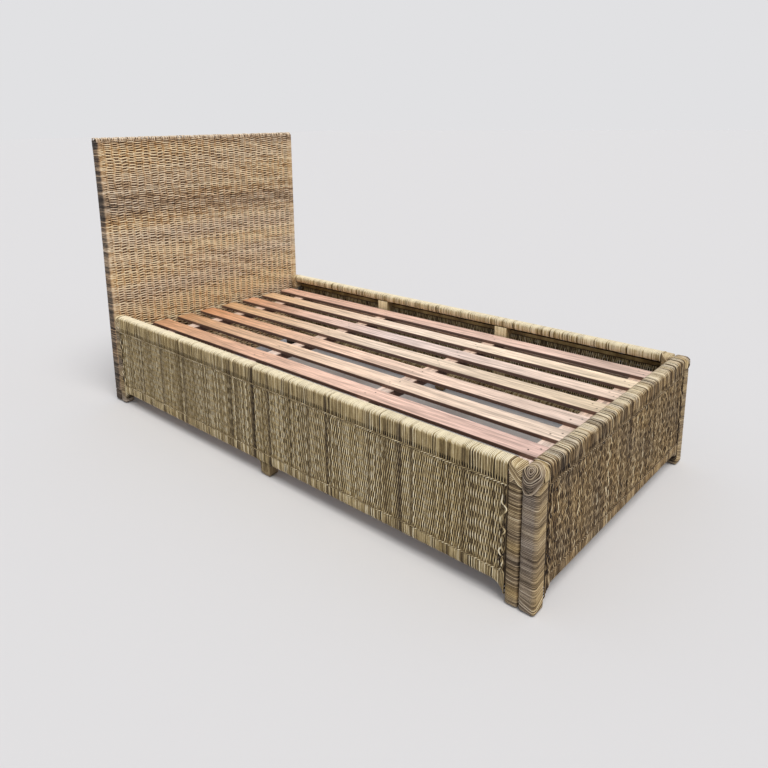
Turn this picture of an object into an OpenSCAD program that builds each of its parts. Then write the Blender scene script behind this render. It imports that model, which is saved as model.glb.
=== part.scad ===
// Single bed in woven cane: four wrapped and woven panels bolted round a nailed deck of slats.
// The bed stands on the floor at z = 0, centred on x and y, with its headboard towards +Y.
// "Left" is -X and "right" is +X, as seen from the footboard.

/* [Overall] */
// Outside width of the bed
bed_w = 1015; // [900:5:1400]
// Outside length, footboard face to headboard back
bed_l = 2005; // [1800:5:2200]
// Height of the side panels and the footboard
panel_h = 381; // [340:1:480]
// Height of the headboard
headboard_h = 1105; // [800:5:1400]
// Clear height under the panels, between the feet
ground_gap = 49; // [45:1:90]

/* [Wicker] */
// Thickness of a woven face, stakes and weavers together
weave_t = 7; // [5:0.5:9]
// Thickness of the cane wrapped round a rail
wrap_t = 3.5; // [2.5:0.5:5]
// Thickness of the cane wrapped round a post
post_wrap_t = 5; // [3:0.5:6]
// Rounding of the long edges of a wrapped rail
rail_r = 11; // [7:1:13]
// Rounding of the upright edges of a wrapped post
post_r = 10; // [7:1:14]
// Rounding of the bottom of each wrapped foot
foot_r = 13; // [7:1:16]
// Radius of the fillets between the feet and the bottom rails
fillet_r = 40; // [10:1:44]
// How far the fillets lie behind the panel's faces
fillet_inset = 2; // [0:0.5:5]
// Spacing of the level stakes that the strands weave over
stake_pitch = 20; // [14:1:30]
// Depth of the hollows between two stakes on a panel's outer face
weave_hollow = 2; // [0.5:0.25:3]
// Height of the lower twined line above the bottom of the panels
low_band_h = 39; // [34:1:60]
// Width of the plaited border beside each post
border_w = 17; // [8:1:30]

/* [Side panels] */
// Thickness of a side panel
side_t = 42; // [36:1:60]
// Width of a side panel's end posts, along the bed
side_post_w = 38; // [34:1:60]
// Rounding of a side panel's top corners, seen from the side
side_corner_r = 14; // [7:1:20]
// Width of the inner uprights, wrapped
upright_w = 52; // [30:1:70]
// How far the upright nearer the foot sits from the first third, towards the head
foot_upright_shift = 20; // [-60:1:60]
// How far the upright nearer the head sits from the second third, towards the head
head_upright_shift = 5; // [-60:1:60]
// Width of the foot under the middle of a side panel
mid_foot_w = 46; // [30:1:80]
// Rounding of the bottom of the middle foot
mid_foot_r = 16; // [4:1:17]
// Radius of the fillets beside the middle foot
mid_fillet_r = 16; // [4:1:24]

/* [Footboard] */
// Thickness of the footboard
foot_t = 46; // [38:1:60]
// Width of the footboard's posts, across the bed
foot_post_w = 50; // [40:1:70]
// Rounding of the footboard's top corners, seen from the front
foot_corner_r = 26; // [7:1:30]
// Rounding of the footboard posts' crowns, seen from the side
foot_crown_r = 20; // [7:1:22]

/* [Headboard] */
// Thickness of the headboard
head_t = 48; // [38:1:70]
// Width of the headboard's post cores, across the bed
head_post_w = 40; // [30:1:60]
// Height of the rails inside the headboard
head_rail_h = 40; // [25:1:60]
// Height of the looped border along the headboard's top
border_h = 9; // [6:1:14]
// Spacing of the headboard's upright stakes, which the rows weave over
head_stake_pitch = 33; // [20:1:50]

/* [Panel rails] */
// Height of a wrapped top rail
top_rail_h = 32; // [28:1:45]
// Depth of the upper twined line below the top of a side panel
side_band_h = 63; // [45:1:90]
// Depth of the upper twined line below the top of the footboard
foot_band_h = 53; // [45:1:90]
// Height of a wrapped bottom rail
bottom_rail_h = 38; // [28:1:50]

/* [Joints] */
// Clearance round tenons, dowels and screws
joint_gap = 0.2; // [0.1:0.05:0.3]
// Depth of a rail's tenon in its post
tenon_l = 16; // [8:1:20]
// Thickness of a rail's tenon
tenon_t = 12; // [6:1:14]
// Height of a rail's tenon
tenon_h = 16; // [8:1:18]
// Diameter of the dowels that pin the uprights and middle feet
dowel_d = 12; // [6:1:14]
// Depth of a dowel in the wood
dowel_l = 14; // [6:1:18]

/* [Slat deck] */
// Depth of the slats' top below the top of the side panels
deck_drop = 66; // [40:1:110]
// Width of a slat
slat_w = 72; // [50:1:90]
// Thickness of a slat
slat_t = 12.5; // [9:0.5:22]
// Gap between the outer slats and the side panels
deck_side_gap = 9.5; // [4:0.5:30]
// Gap between the slats' ends and the footboard and headboard
deck_end_gap = 8; // [3:1:30]
// Width of a cross bearer
bearer_w = 52; // [35:1:80]
// Depth of a cross bearer
bearer_h = 30; // [26:1:60]
// Gap between a bearer's ends and the side panels
bearer_end_gap = 3; // [1:0.5:8]
// Centre of the first bearer from the slats' foot ends
bearer_foot_in = 72; // [40:1:200]
// Centre of the last bearer from the slats' head ends
bearer_head_in = 146; // [40:1:220]
// How far the two middle bearers sit from even spacing, towards the head
bearer_shift = 20; // [-80:1:80]
// Width of the ledgers that carry the bearers
ledger_w = 20; // [16:1:40]
// Height of the ledgers
ledger_h = 30; // [28:1:50]

/* [Fasteners] */
// Shank diameter of a slat nail
nail_d = 2.5; // [1.8:0.1:3.2]
// Length of a slat nail
nail_l = 30; // [20:1:34]
// Head diameter of a slat nail
nail_head_d = 5.5; // [4:0.5:7]
// Half the distance between the two nails of a crossing, each way
nail_offset = 12; // [5:1:18]
// Shank diameter of the wood screws
screw_d = 4.5; // [3.5:0.5:6]
// Head diameter of the wood screws
screw_head_d = 9; // [7:0.5:10]
// Length of the screws that hold the bearers to the ledgers
bearer_screw_l = 44; // [38:1:48]
// Length of the screws that hold the ledgers to the side panels
ledger_screw_l = 45; // [36:1:48]
// Shank diameter of the bed bolts
bolt_d = 8; // [5:1:10]
// Length of the bed bolts under their washers
bolt_l = 70; // [60:1:74]
// Height of the lower bed bolts
bolt_low_z = 120; // [105:1:160]
// Depth of the upper bed bolts below the top of the panels
bolt_high_in = 69; // [60:1:90]
// Distance of the bed bolts behind a side panel's outer face
bolt_in = 24; // [20:1:26]

/* [Hidden] */
$fn = 48;
SLATS = 8;

cane = "#A08A5C";
cane_dark = "#7F6E52";
cane_warm = "#B39A78";
pole_wood = "#C2A177";
slat_wood = "#D9A78C";
steel = "#8E9092";

// Places shared by the panels
foot_in_y = -bed_l / 2 + foot_t;
head_in_y = bed_l / 2 - head_t;
side_l = head_in_y - foot_in_y;
side_in_x = bed_w / 2 - side_t;

// A panel is [length, thickness, post width, corner radius, crown radius, upper band height].
// It is drawn with u along its length, v inwards from its outer face and z up.
side_panel = [side_l, side_t, side_post_w, side_corner_r, rail_r, side_band_h];
foot_panel = [bed_w, foot_t, foot_post_w, foot_corner_r, foot_crown_r, foot_band_h];

// The wooden cores lie between the weave outside and one layer of wrap inside
function core_t(p) = p[1] - weave_t - wrap_t;
function core_v(p) = weave_t + core_t(p) / 2;
top_core_h = top_rail_h - 2 * wrap_t;
bottom_core_h = bottom_rail_h - 2 * wrap_t;
top_core_z = panel_h - top_rail_h / 2;
bottom_core_z = ground_gap + bottom_rail_h / 2;
upright_at = [side_l / 3 + foot_upright_shift, 2 * side_l / 3 + head_upright_shift];

// Places shared by the deck
slat_top_z = panel_h - deck_drop;
bearer_top_z = slat_top_z - slat_t;
ledger_top_z = bearer_top_z - bearer_h;
slat_y0 = foot_in_y + deck_end_gap;
slat_y1 = head_in_y - deck_end_gap;
slat_pitch = (2 * (side_in_x - deck_side_gap) - slat_w) / (SLATS - 1);
slat_x = [for (i = [0 : SLATS - 1]) (i - (SLATS - 1) / 2) * slat_pitch];
bearer_first = slat_y0 + bearer_foot_in;
bearer_last = slat_y1 - bearer_head_in;
bearer_step = (bearer_last - bearer_first) / 3;
bearer_y = [
    bearer_first,
    bearer_first + bearer_step + bearer_shift,
    bearer_first + 2 * bearer_step + bearer_shift,
    bearer_last
];
bearer_l = 2 * (side_in_x - bearer_end_gap);

// Flat left on the face over each stake, between two hollows
row_land = 2;

// Sizes of the small hardware
nail_head_h = 1.2;
screw_head_h = 3;
washer_d = 2 * bolt_d;
washer_t = 1.6;
bolt_head_d = 1.8 * bolt_d;
bolt_head_h = 0.65 * bolt_d;
insert_d = bolt_d + 4;
insert_l = 22;
bolt_z = [bolt_low_z, panel_h - bolt_high_in];
bolt_x = bed_w / 2 - bolt_in;
deck_screw_x = side_in_x - ledger_w / 2;
ledger_screw_z = ledger_top_z - ledger_h + screw_head_d / 2 + 1;
foot_insert_y = foot_in_y - post_wrap_t - insert_l;
head_insert_y = head_in_y + weave_t;
bolt_depth = bolt_l - side_post_w;

// Rectangle with its lower left corner at the origin and four round corners
module round_rect(w, h, r) {
    translate([r, 0]) square([w - 2 * r, h]);
    translate([0, r]) square([w, h - 2 * r]);
    for (x = [r, w - r], y = [r, h - r]) translate([x, y]) circle(r);
}

// Post outline: foot_low rounding at both bottom corners, top_left and top_right at the top
module post_outline(w, h, foot_low, top_left, top_right) {
    big = max(top_left, top_right);
    translate([0, foot_low]) square([w, h - foot_low - big]);
    translate([foot_low, 0]) square([w - 2 * foot_low, h / 2]);
    for (x = [foot_low, w - foot_low]) translate([x, foot_low]) circle(foot_low);
    translate([top_left, h / 2]) square([w - top_left - top_right, h / 2]);
    translate([0, h / 2]) square([w / 2, h / 2 - top_left]);
    translate([w / 2, h / 2]) square([w / 2, h / 2 - top_right]);
    if (top_left > 0) translate([top_left, h - top_left]) circle(top_left);
    if (top_right > 0) translate([w - top_right, h - top_right]) circle(top_right);
}

// Carries an outline of (v, z) along u
module along(l) {
    rotate([90, 0, 90]) linear_extrude(l) children();
}

// Carries an outline of (u, z) across v, from face to face
module across(d) {
    translate([0, d, 0]) rotate([90, 0, 0]) linear_extrude(d) children();
}

// Box from one corner to the other
module box(low, high) {
    translate(low) cube(high - low);
}

// Puts a panel's drawing in its place in the bed
module place_footboard() {
    translate([-bed_w / 2, -bed_l / 2, 0]) children();
}
module place_side(side) {
    mirror([side < 0 ? 1 : 0, 0, 0])
        translate([bed_w / 2, foot_in_y, 0]) rotate([0, 0, 90]) children();
}

// Puts a post's drawing at the first or the second end of a panel
module at_end(p, second) {
    if (second) translate([p[0], 0, 0]) mirror([1, 0, 0]) children();
    else children();
}

// Outside of a wrapped post: rounded in plan, with a crown and a rounded foot
module wrapped_post_body(p) {
    intersection() {
        linear_extrude(panel_h) round_rect(p[2], p[1], post_r);
        across(p[1]) post_outline(p[2], panel_h, foot_r, p[3], 0);
        along(p[2]) post_outline(p[1], panel_h, foot_r, p[4], p[4]);
    }
}

// Wooden core of a post inside its wrap, its corners planed off where the wrap is round
module post_core(p) {
    w = p[2] - 2 * post_wrap_t;
    t = p[1] - 2 * post_wrap_t;
    h = panel_h - 2 * post_wrap_t;
    translate([post_wrap_t, post_wrap_t, post_wrap_t]) intersection() {
        across(t) core_outline(w, h, foot_r / 2, p[3] / 2, 0);
        along(w) core_outline(t, h, foot_r / 2, p[4] / 2, p[4] / 2);
    }
}
module core_outline(w, h, low, left, right) {
    top_right = right > 0 ? [[w, h - right], [w - right, h]] : [[w, h]];
    polygon(concat([[low, 0], [w - low, 0], [w, low]], top_right, [[left, h], [0, h - left], [0, low]]));
}

// Where a rail's tenon ends inside a post
function tenon_u(p) = p[2] - post_wrap_t - tenon_l;

// The two tenons that a panel's rails put into one post, grown by gap
module rail_tenons(p, gap) {
    for (z = [top_core_z, bottom_core_z])
        translate([tenon_u(p) - gap, core_v(p) - tenon_t / 2 - gap, z - tenon_h / 2 - gap])
            cube([p[2] - tenon_u(p) + 2 * gap, tenon_t + 2 * gap, tenon_h + 2 * gap]);
}

// Bolt holes through the posts, along the bed at a side panel's end
module bolt_holes(d, y0, y1) {
    for (side = [-1, 1], z = bolt_z)
        translate([side * bolt_x, y0, z]) rotate([-90, 0, 0]) cylinder(d = d, h = y1 - y0);
}

// Holes for the screws that hold the ledgers, grown by gap
module ledger_screw_holes(gap) {
    for (side = [-1, 1], u = ledger_screw_u())
        translate([side * (side_in_x - ledger_w), foot_in_y + u, ledger_screw_z])
            rotate([0, side * 90, 0]) wood_screw(ledger_screw_l, gap);
}
function ledger_screw_u() = [
    side_post_w / 2,
    upright_at[0] - upright_w / 4,
    upright_at[1] - upright_w / 4,
    side_l - side_post_w / 2
];

// Countersunk wood screw pointing along +z from its head's face at the origin
module wood_screw(l, gap) {
    cylinder(d = screw_d + 2 * gap, h = l + gap);
    cylinder(d1 = screw_head_d + 2 * gap, d2 = screw_d + 2 * gap, h = screw_head_h);
}

// Wooden post of a panel, with its mortises
module panel_post(p, second) {
    at_end(p, second) difference() {
        post_core(p);
        rail_tenons(p, joint_gap);
    }
}

// Cane wrapped round a post from its crown to under its foot
module panel_post_wrap(p, second) {
    at_end(p, second) difference() {
        wrapped_post_body(p);
        post_core(p);
        rail_tenons(p, joint_gap);
    }
}

// Rail core between the posts, with a tenon at each end
module panel_rail(p, z, h) {
    box([p[2], weave_t, z - h / 2], [p[0] - p[2], p[1] - wrap_t, z + h / 2]);
    translate([tenon_u(p), core_v(p) - tenon_t / 2, z - tenon_h / 2])
        cube([p[0] - 2 * tenon_u(p), tenon_t, tenon_h]);
}

// Dowels of an upright at u, up and down into the rail cores, grown by gap
module upright_dowels(p, u, gap) {
    low = ground_gap + bottom_rail_h - wrap_t - dowel_l - gap;
    high = panel_h - top_rail_h + wrap_t + dowel_l + gap;
    translate([u, core_v(p), low]) cylinder(d = dowel_d + 2 * gap, h = high - low);
}

// Dowel of a middle foot, up into the bottom rail, grown by gap
module middle_foot_dowel(p, gap) {
    translate([p[0] / 2, core_v(p), ground_gap - wrap_t])
        cylinder(d = dowel_d + 2 * gap, h = 2 * wrap_t + dowel_l + gap);
}

// Upright between the two rails, behind the weave
module panel_upright(p, u) {
    box([u - upright_w / 2, weave_t, ground_gap + bottom_rail_h],
        [u + upright_w / 2, p[1], panel_h - top_rail_h]);
    upright_dowels(p, u, 0);
}

// Woven face with the bands that wrap the two rails, and the fillets down to the feet
module panel_weave(p, uprights, middle_foot) {
    difference() {
        union() {
            translate([p[2], 0, 0]) along(p[0] - 2 * p[2]) weave_outline(p);
            for (second = [false, true]) at_end(p, second) weave_fillet(p);
        }
        translate([p[2] + border_w, 0, 0]) along(p[0] - 2 * p[2] - 2 * border_w) weave_rows(p);
        box([p[2] - 1, weave_t, top_core_z - top_core_h / 2],
            [p[0] - p[2] + 1, p[1] - wrap_t, top_core_z + top_core_h / 2]);
        box([p[2] - 1, weave_t, bottom_core_z - bottom_core_h / 2],
            [p[0] - p[2] + 1, p[1] - wrap_t, bottom_core_z + bottom_core_h / 2]);
        for (u = uprights) upright_dowels(p, u, joint_gap);
        if (middle_foot) middle_foot_dowel(p, joint_gap);
    }
}
module weave_outline(p) {
    translate([0, panel_h - top_rail_h]) round_rect(p[1], top_rail_h, rail_r);
    translate([0, ground_gap]) round_rect(p[1], bottom_rail_h, rail_r);
    translate([0, ground_gap + rail_r]) square([weave_t, panel_h - ground_gap - 2 * rail_r]);
}

// Hollows between the level stakes, from the lower twined line to the upper one, where the
// strands swing back behind the face
module weave_rows(p) {
    low = ground_gap + low_band_h;
    rows = round((panel_h - p[5] - low) / stake_pitch);
    row_h = (panel_h - p[5] - low) / rows;
    for (i = [0 : rows - 1]) translate([0, low + (i + 0.5) * row_h]) rotate(-90) hollow(row_h);
}

// Circle whose arc is weave_hollow deep between two stakes, drawn with the face along x
module hollow(pitch) {
    half = pitch / 2 - row_land / 2;
    r = (half * half + weave_hollow * weave_hollow) / (2 * weave_hollow);
    translate([0, weave_hollow - r]) circle(r);
}
module weave_fillet(p) {
    translate([p[2], fillet_inset, ground_gap])
        across(p[1] - 2 * fillet_inset) fillet_outline(fillet_r, rail_r);
}

// Hollow corner of radius r under z = 0, with a strip of height h on top
module fillet_outline(r, h) {
    difference() {
        translate([0, -r]) square([r, r + h]);
        translate([r, -r]) circle(r);
    }
}

// Middle foot under a side panel, set in behind the woven face
module middle_foot(p) {
    depth = p[1] - weave_t;
    translate([p[0] / 2 - mid_foot_w / 2, weave_t, 0]) intersection() {
        across(depth) post_outline(mid_foot_w, ground_gap, mid_foot_r, 0, 0);
        along(mid_foot_w) post_outline(depth, ground_gap, foot_r, 0, 0);
    }
    for (s = [0, 1]) translate([p[0] / 2, weave_t, ground_gap]) mirror([s, 0, 0])
        translate([mid_foot_w / 2, fillet_inset, 0])
            across(depth - 2 * fillet_inset) fillet_outline(mid_fillet_r, 0);
    middle_foot_dowel(p, 0);
}

// Side panels
module side_post(side, second) color(pole_wood) difference() {
    place_side(side) panel_post(side_panel, second);
    bolt_holes(bolt_d + 2 * joint_gap, foot_in_y - 1, head_in_y + 1);
    ledger_screw_holes(joint_gap);
}
module side_post_wrap(side, second) color(cane) difference() {
    place_side(side) panel_post_wrap(side_panel, second);
    bolt_holes(bolt_d + 2 * joint_gap, foot_in_y - 1, head_in_y + 1);
    ledger_screw_holes(joint_gap);
}
module side_top_rail(side) color(pole_wood) difference() {
    place_side(side) panel_rail(side_panel, top_core_z, top_core_h);
    place_side(side) for (u = upright_at) upright_dowels(side_panel, u, joint_gap);
}
module side_bottom_rail(side) color(pole_wood) difference() {
    place_side(side) panel_rail(side_panel, bottom_core_z, bottom_core_h);
    place_side(side) for (u = upright_at) upright_dowels(side_panel, u, joint_gap);
    place_side(side) middle_foot_dowel(side_panel, joint_gap);
}
module side_upright(side, i) color(cane_warm) difference() {
    place_side(side) panel_upright(side_panel, upright_at[i]);
    ledger_screw_holes(joint_gap);
}
module side_middle_foot(side) color(cane) place_side(side) middle_foot(side_panel);
module side_weave(side) color(cane) place_side(side) panel_weave(side_panel, upright_at, true);

// Ledger screwed to the posts and uprights, which carries the bearers' ends
module side_ledger(side) color(slat_wood) difference() {
    place_side(side) box([0, side_t, ledger_top_z - ledger_h], [side_l, side_t + ledger_w, ledger_top_z]);
    ledger_screw_holes(joint_gap);
    deck_screw_set(joint_gap);
}

// Footboard
module footboard_post(second) color(pole_wood) difference() {
    place_footboard() panel_post(foot_panel, second);
    bolt_holes(bolt_d + 2 * joint_gap, foot_in_y - bolt_depth - 1, foot_in_y + 1);
    bolt_holes(insert_d, foot_insert_y, foot_in_y);
}
module footboard_wrap(second) color(cane_dark) difference() {
    place_footboard() panel_post_wrap(foot_panel, second);
    bolt_holes(bolt_d + 2 * joint_gap, foot_in_y - post_wrap_t - 1, foot_in_y + 1);
}
module footboard_rail(z, h) color(pole_wood) difference() {
    place_footboard() panel_rail(foot_panel, z, h);
    place_footboard() upright_dowels(foot_panel, bed_w / 2, joint_gap);
}
module footboard_upright() color(cane_warm) place_footboard() panel_upright(foot_panel, bed_w / 2);
module footboard_weave() color(cane_dark) place_footboard() panel_weave(foot_panel, [bed_w / 2], false);

// Headboard: a pole frame inside a sleeve woven round both faces and both edges
head_core_t = head_t - 2 * weave_t;
head_core_x = bed_w / 2 - weave_t - head_post_w;
head_top_z = headboard_h - border_h;
head_middle_z = panel_h - head_rail_h;
module head_tenons(z, gap) {
    l = head_core_x + tenon_l + gap;
    box([-l, bed_l / 2 - head_t / 2 - tenon_t / 2 - gap, z + head_rail_h / 2 - tenon_h / 2 - gap],
        [l, bed_l / 2 - head_t / 2 + tenon_t / 2 + gap, z + head_rail_h / 2 + tenon_h / 2 + gap]);
}
module head_post(side) color(pole_wood) difference() {
    mirror([side < 0 ? 1 : 0, 0, 0])
        box([head_core_x, head_in_y + weave_t, weave_t],
            [head_core_x + head_post_w, bed_l / 2 - weave_t, head_top_z]);
    for (z = [ground_gap, head_middle_z, head_top_z - head_rail_h]) head_tenons(z, joint_gap);
    bolt_holes(bolt_d + 2 * joint_gap, head_in_y - 1, head_in_y + bolt_depth + 1);
    bolt_holes(insert_d, head_in_y, head_insert_y + insert_l);
}
module head_rail(z) color(pole_wood) difference() {
    union() {
        box([-head_core_x, head_in_y + weave_t, z], [head_core_x, bed_l / 2 - weave_t, z + head_rail_h]);
        head_tenons(z, 0);
    }
    head_dowels(joint_gap);
}
module head_dowels(gap) {
    low = head_middle_z + head_rail_h - dowel_l - gap;
    high = head_top_z - head_rail_h + dowel_l + gap;
    translate([0, bed_l / 2 - head_t / 2, low]) cylinder(d = dowel_d + 2 * gap, h = high - low);
}
module headboard_centre_upright() color(pole_wood) {
    box([-head_post_w / 2, head_in_y + weave_t, head_middle_z + head_rail_h],
        [head_post_w / 2, bed_l / 2 - weave_t, head_top_z - head_rail_h]);
    head_dowels(0);
}
module headboard_weave() color(cane_warm) difference() {
    translate([-bed_w / 2, head_in_y, ground_gap]) linear_extrude(head_top_z - ground_gap)
        difference() {
            round_rect(bed_w, head_t, post_r);
            translate([weave_t, weave_t]) square([bed_w - 2 * weave_t, head_core_t]);
            head_rows();
            translate([0, head_t]) mirror([0, 1]) head_rows();
        }
    bolt_holes(bolt_d + 2 * joint_gap, head_in_y - 1, head_in_y + weave_t + 1);
}

// Hollows between the upright stakes on one face, seen from above, as far as the round edges
module head_rows() {
    stakes = floor((bed_w - 2 * post_r) / head_stake_pitch);
    for (i = [0 : stakes - 1])
        translate([bed_w / 2 + (i + 0.5 - stakes / 2) * head_stake_pitch, 0]) hollow(head_stake_pitch);
}
module headboard_border() color(cane_warm) {
    translate([-bed_w / 2, head_in_y, head_top_z]) intersection() {
        linear_extrude(border_h) round_rect(bed_w, head_t, post_r);
        along(bed_w) difference() {
            square([head_t, border_h]);
            for (v = [0, head_t]) translate([v, border_h]) rotate(45) square(border_h / 2, center = true);
        }
    }
}
module head_foot_wrap(side) color(cane_dark) mirror([side < 0 ? 1 : 0, 0, 0]) difference() {
    translate([head_core_x - weave_t, head_in_y, 0]) intersection() {
        linear_extrude(ground_gap) round_rect(head_post_w + 2 * weave_t, head_t, post_r);
        across(head_t) post_outline(head_post_w + 2 * weave_t, ground_gap, foot_r, 0, 0);
        along(head_post_w + 2 * weave_t) post_outline(head_t, ground_gap, foot_r, 0, 0);
    }
    box([head_core_x, head_in_y + weave_t, weave_t],
        [head_core_x + head_post_w, bed_l / 2 - weave_t, ground_gap + 1]);
}

// Slat deck
module slat(i) color(slat_wood) difference() {
    translate([slat_x[i] - slat_w / 2, slat_y0, bearer_top_z]) cube([slat_w, slat_y1 - slat_y0, slat_t]);
    for (y = bearer_y) nail_pair(slat_x[i], y, joint_gap);
}
module bearer(i) color(slat_wood) difference() {
    translate([-bearer_l / 2, bearer_y[i] - bearer_w / 2, bearer_top_z - bearer_h])
        cube([bearer_l, bearer_w, bearer_h]);
    for (x = slat_x) nail_pair(x, bearer_y[i], joint_gap);
    deck_screw_set(joint_gap);
}
module nail_pair(x, y, gap) {
    slant = x < 0 ? -nail_offset : nail_offset;
    for (s = [-1, 1]) translate([x + s * slant, y + s * nail_offset, slat_top_z]) nail(gap);
}
module nail(gap) {
    translate([0, 0, -nail_l - gap]) cylinder(d = nail_d + 2 * gap, h = nail_l + gap);
    translate([0, 0, -nail_head_h]) cylinder(d = nail_head_d + 2 * gap, h = nail_head_h);
}
module slat_nails() color(steel) for (x = slat_x, y = bearer_y) nail_pair(x, y, 0);
module deck_screw_set(gap) {
    for (side = [-1, 1], y = bearer_y)
        translate([side * deck_screw_x, y, bearer_top_z])
            rotate([180, 0, 0]) wood_screw(bearer_screw_l, gap);
}
module deck_screws() color(steel) {
    deck_screw_set(0);
    ledger_screw_holes(0);
}

// Bed bolts, put in from inside the side panels and drawn up in threaded inserts
module at_bolts() {
    for (side = [-1, 1], z = bolt_z) {
        translate([side * bolt_x, foot_in_y + side_post_w, z]) rotate([90, 0, 0]) children();
        translate([side * bolt_x, head_in_y - side_post_w, z]) rotate([-90, 0, 0]) children();
    }
}
module bed_bolts() color(steel) at_bolts() {
    cylinder(d = bolt_d, h = bolt_l);
    translate([0, 0, -washer_t - bolt_head_h]) cylinder(d = bolt_head_d, h = bolt_head_h, $fn = 6);
    translate([0, 0, -washer_t]) cylinder(d = bolt_d, h = washer_t);
}
module bolt_washers() color(steel) at_bolts() translate([0, 0, -washer_t]) difference() {
    cylinder(d = washer_d, h = washer_t);
    translate([0, 0, -1]) cylinder(d = bolt_d + 2 * joint_gap, h = washer_t + 2);
}
module threaded_inserts() color(steel) {
    for (side = [-1, 1], z = bolt_z) {
        translate([side * bolt_x, foot_insert_y, z]) rotate([-90, 0, 0]) insert();
        translate([side * bolt_x, head_insert_y, z]) rotate([-90, 0, 0]) insert();
    }
}
module insert() difference() {
    cylinder(d = insert_d - 2 * joint_gap, h = insert_l);
    translate([0, 0, -1]) cylinder(d = bolt_d + 2 * joint_gap, h = insert_l + 2);
}

head_post(-1);  // headboard_left_post
head_post(1);  // headboard_right_post
head_rail(head_top_z - head_rail_h);  // headboard_top_rail
head_rail(head_middle_z);  // headboard_middle_rail
head_rail(ground_gap);  // headboard_bottom_rail
headboard_centre_upright();
headboard_weave();
headboard_border();
head_foot_wrap(-1);  // headboard_left_foot_wrap
head_foot_wrap(1);  // headboard_right_foot_wrap
footboard_post(false);  // footboard_left_post
footboard_post(true);  // footboard_right_post
footboard_wrap(false);  // footboard_left_wrap
footboard_wrap(true);  // footboard_right_wrap
footboard_rail(top_core_z, top_core_h);  // footboard_top_rail
footboard_rail(bottom_core_z, bottom_core_h);  // footboard_bottom_rail
footboard_upright();
footboard_weave();
side_post(-1, false);  // left_foot_post
side_post(-1, true);  // left_head_post
side_post_wrap(-1, false);  // left_foot_post_wrap
side_post_wrap(-1, true);  // left_head_post_wrap
side_top_rail(-1);  // left_top_rail
side_bottom_rail(-1);  // left_bottom_rail
side_upright(-1, 0);  // left_foot_upright
side_upright(-1, 1);  // left_head_upright
side_middle_foot(-1);  // left_middle_foot
side_weave(-1);  // left_weave
side_ledger(-1);  // left_ledger
side_post(1, false);  // right_foot_post
side_post(1, true);  // right_head_post
side_post_wrap(1, false);  // right_foot_post_wrap
side_post_wrap(1, true);  // right_head_post_wrap
side_top_rail(1);  // right_top_rail
side_bottom_rail(1);  // right_bottom_rail
side_upright(1, 0);  // right_foot_upright
side_upright(1, 1);  // right_head_upright
side_middle_foot(1);  // right_middle_foot
side_weave(1);  // right_weave
side_ledger(1);  // right_ledger
slat(0);  // slat_1
slat(1);  // slat_2
slat(2);  // slat_3
slat(3);  // slat_4
slat(4);  // slat_5
slat(5);  // slat_6
slat(6);  // slat_7
slat(7);  // slat_8
bearer(0);  // bearer_1
bearer(1);  // bearer_2
bearer(2);  // bearer_3
bearer(3);  // bearer_4
slat_nails();
deck_screws();
bed_bolts();
bolt_washers();
threaded_inserts();
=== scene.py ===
import math

import bpy
import numpy as np
from mathutils import Matrix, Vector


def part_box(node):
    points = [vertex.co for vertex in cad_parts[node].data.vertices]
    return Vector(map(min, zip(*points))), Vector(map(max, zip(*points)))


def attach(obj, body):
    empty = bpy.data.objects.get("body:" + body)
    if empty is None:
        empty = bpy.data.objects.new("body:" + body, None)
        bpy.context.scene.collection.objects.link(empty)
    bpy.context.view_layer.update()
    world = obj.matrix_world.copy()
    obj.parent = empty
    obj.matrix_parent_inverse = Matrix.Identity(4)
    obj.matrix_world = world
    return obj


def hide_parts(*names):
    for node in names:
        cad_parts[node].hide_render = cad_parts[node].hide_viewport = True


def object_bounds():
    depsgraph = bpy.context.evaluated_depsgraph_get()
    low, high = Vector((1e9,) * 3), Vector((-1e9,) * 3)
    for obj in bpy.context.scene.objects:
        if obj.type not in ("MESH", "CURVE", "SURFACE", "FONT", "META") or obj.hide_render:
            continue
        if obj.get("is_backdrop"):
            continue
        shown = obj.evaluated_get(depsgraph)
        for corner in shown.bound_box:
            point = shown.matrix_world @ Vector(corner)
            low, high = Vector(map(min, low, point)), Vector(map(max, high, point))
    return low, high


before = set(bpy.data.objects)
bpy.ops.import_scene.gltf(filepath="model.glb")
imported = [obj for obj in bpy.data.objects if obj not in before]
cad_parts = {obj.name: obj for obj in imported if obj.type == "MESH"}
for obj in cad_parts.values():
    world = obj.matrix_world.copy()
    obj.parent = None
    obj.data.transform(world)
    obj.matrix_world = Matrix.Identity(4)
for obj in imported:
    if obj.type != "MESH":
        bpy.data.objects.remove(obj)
cad_low, cad_high = (np.array(corner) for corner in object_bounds())

# One millimetre. Lengths are in metres, unless their name ends in mm or px
MM = 0.001

# Camera: it stands off the bed's near corner, a little above the headboard's top, and looks across
# the deck. Its place, its turn and its lens were fitted to the bed's own edges, in a frame of 768
# pixels square.
image_side = 768
focal_px = 678.1
centre_px = (369.0, 270.0)
camera_at = (-1.784, -1.662, 1.158)
camera_turn = math.radians(-47.43)
camera_dip = math.radians(12.44)
camera_roll = math.radians(-0.79)
sensor_mm = 36.0


def unit(vectors):
    """Scales vectors to a length of 1."""
    return vectors / np.linalg.norm(vectors, axis=-1, keepdims=True)


def axes_at(right, top, back, at):
    """The matrix of an object at a place whose own x, y and z axes point right, to the top and back."""
    return Matrix([[right[i], top[i], back[i], at[i]] for i in range(3)] + [[0, 0, 0, 1]])


def put(name, data):
    """Puts an object that shows this data into the scene, at the origin."""
    thing = bpy.data.objects.new(name, data)
    bpy.context.scene.collection.objects.link(thing)
    return thing


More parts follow.
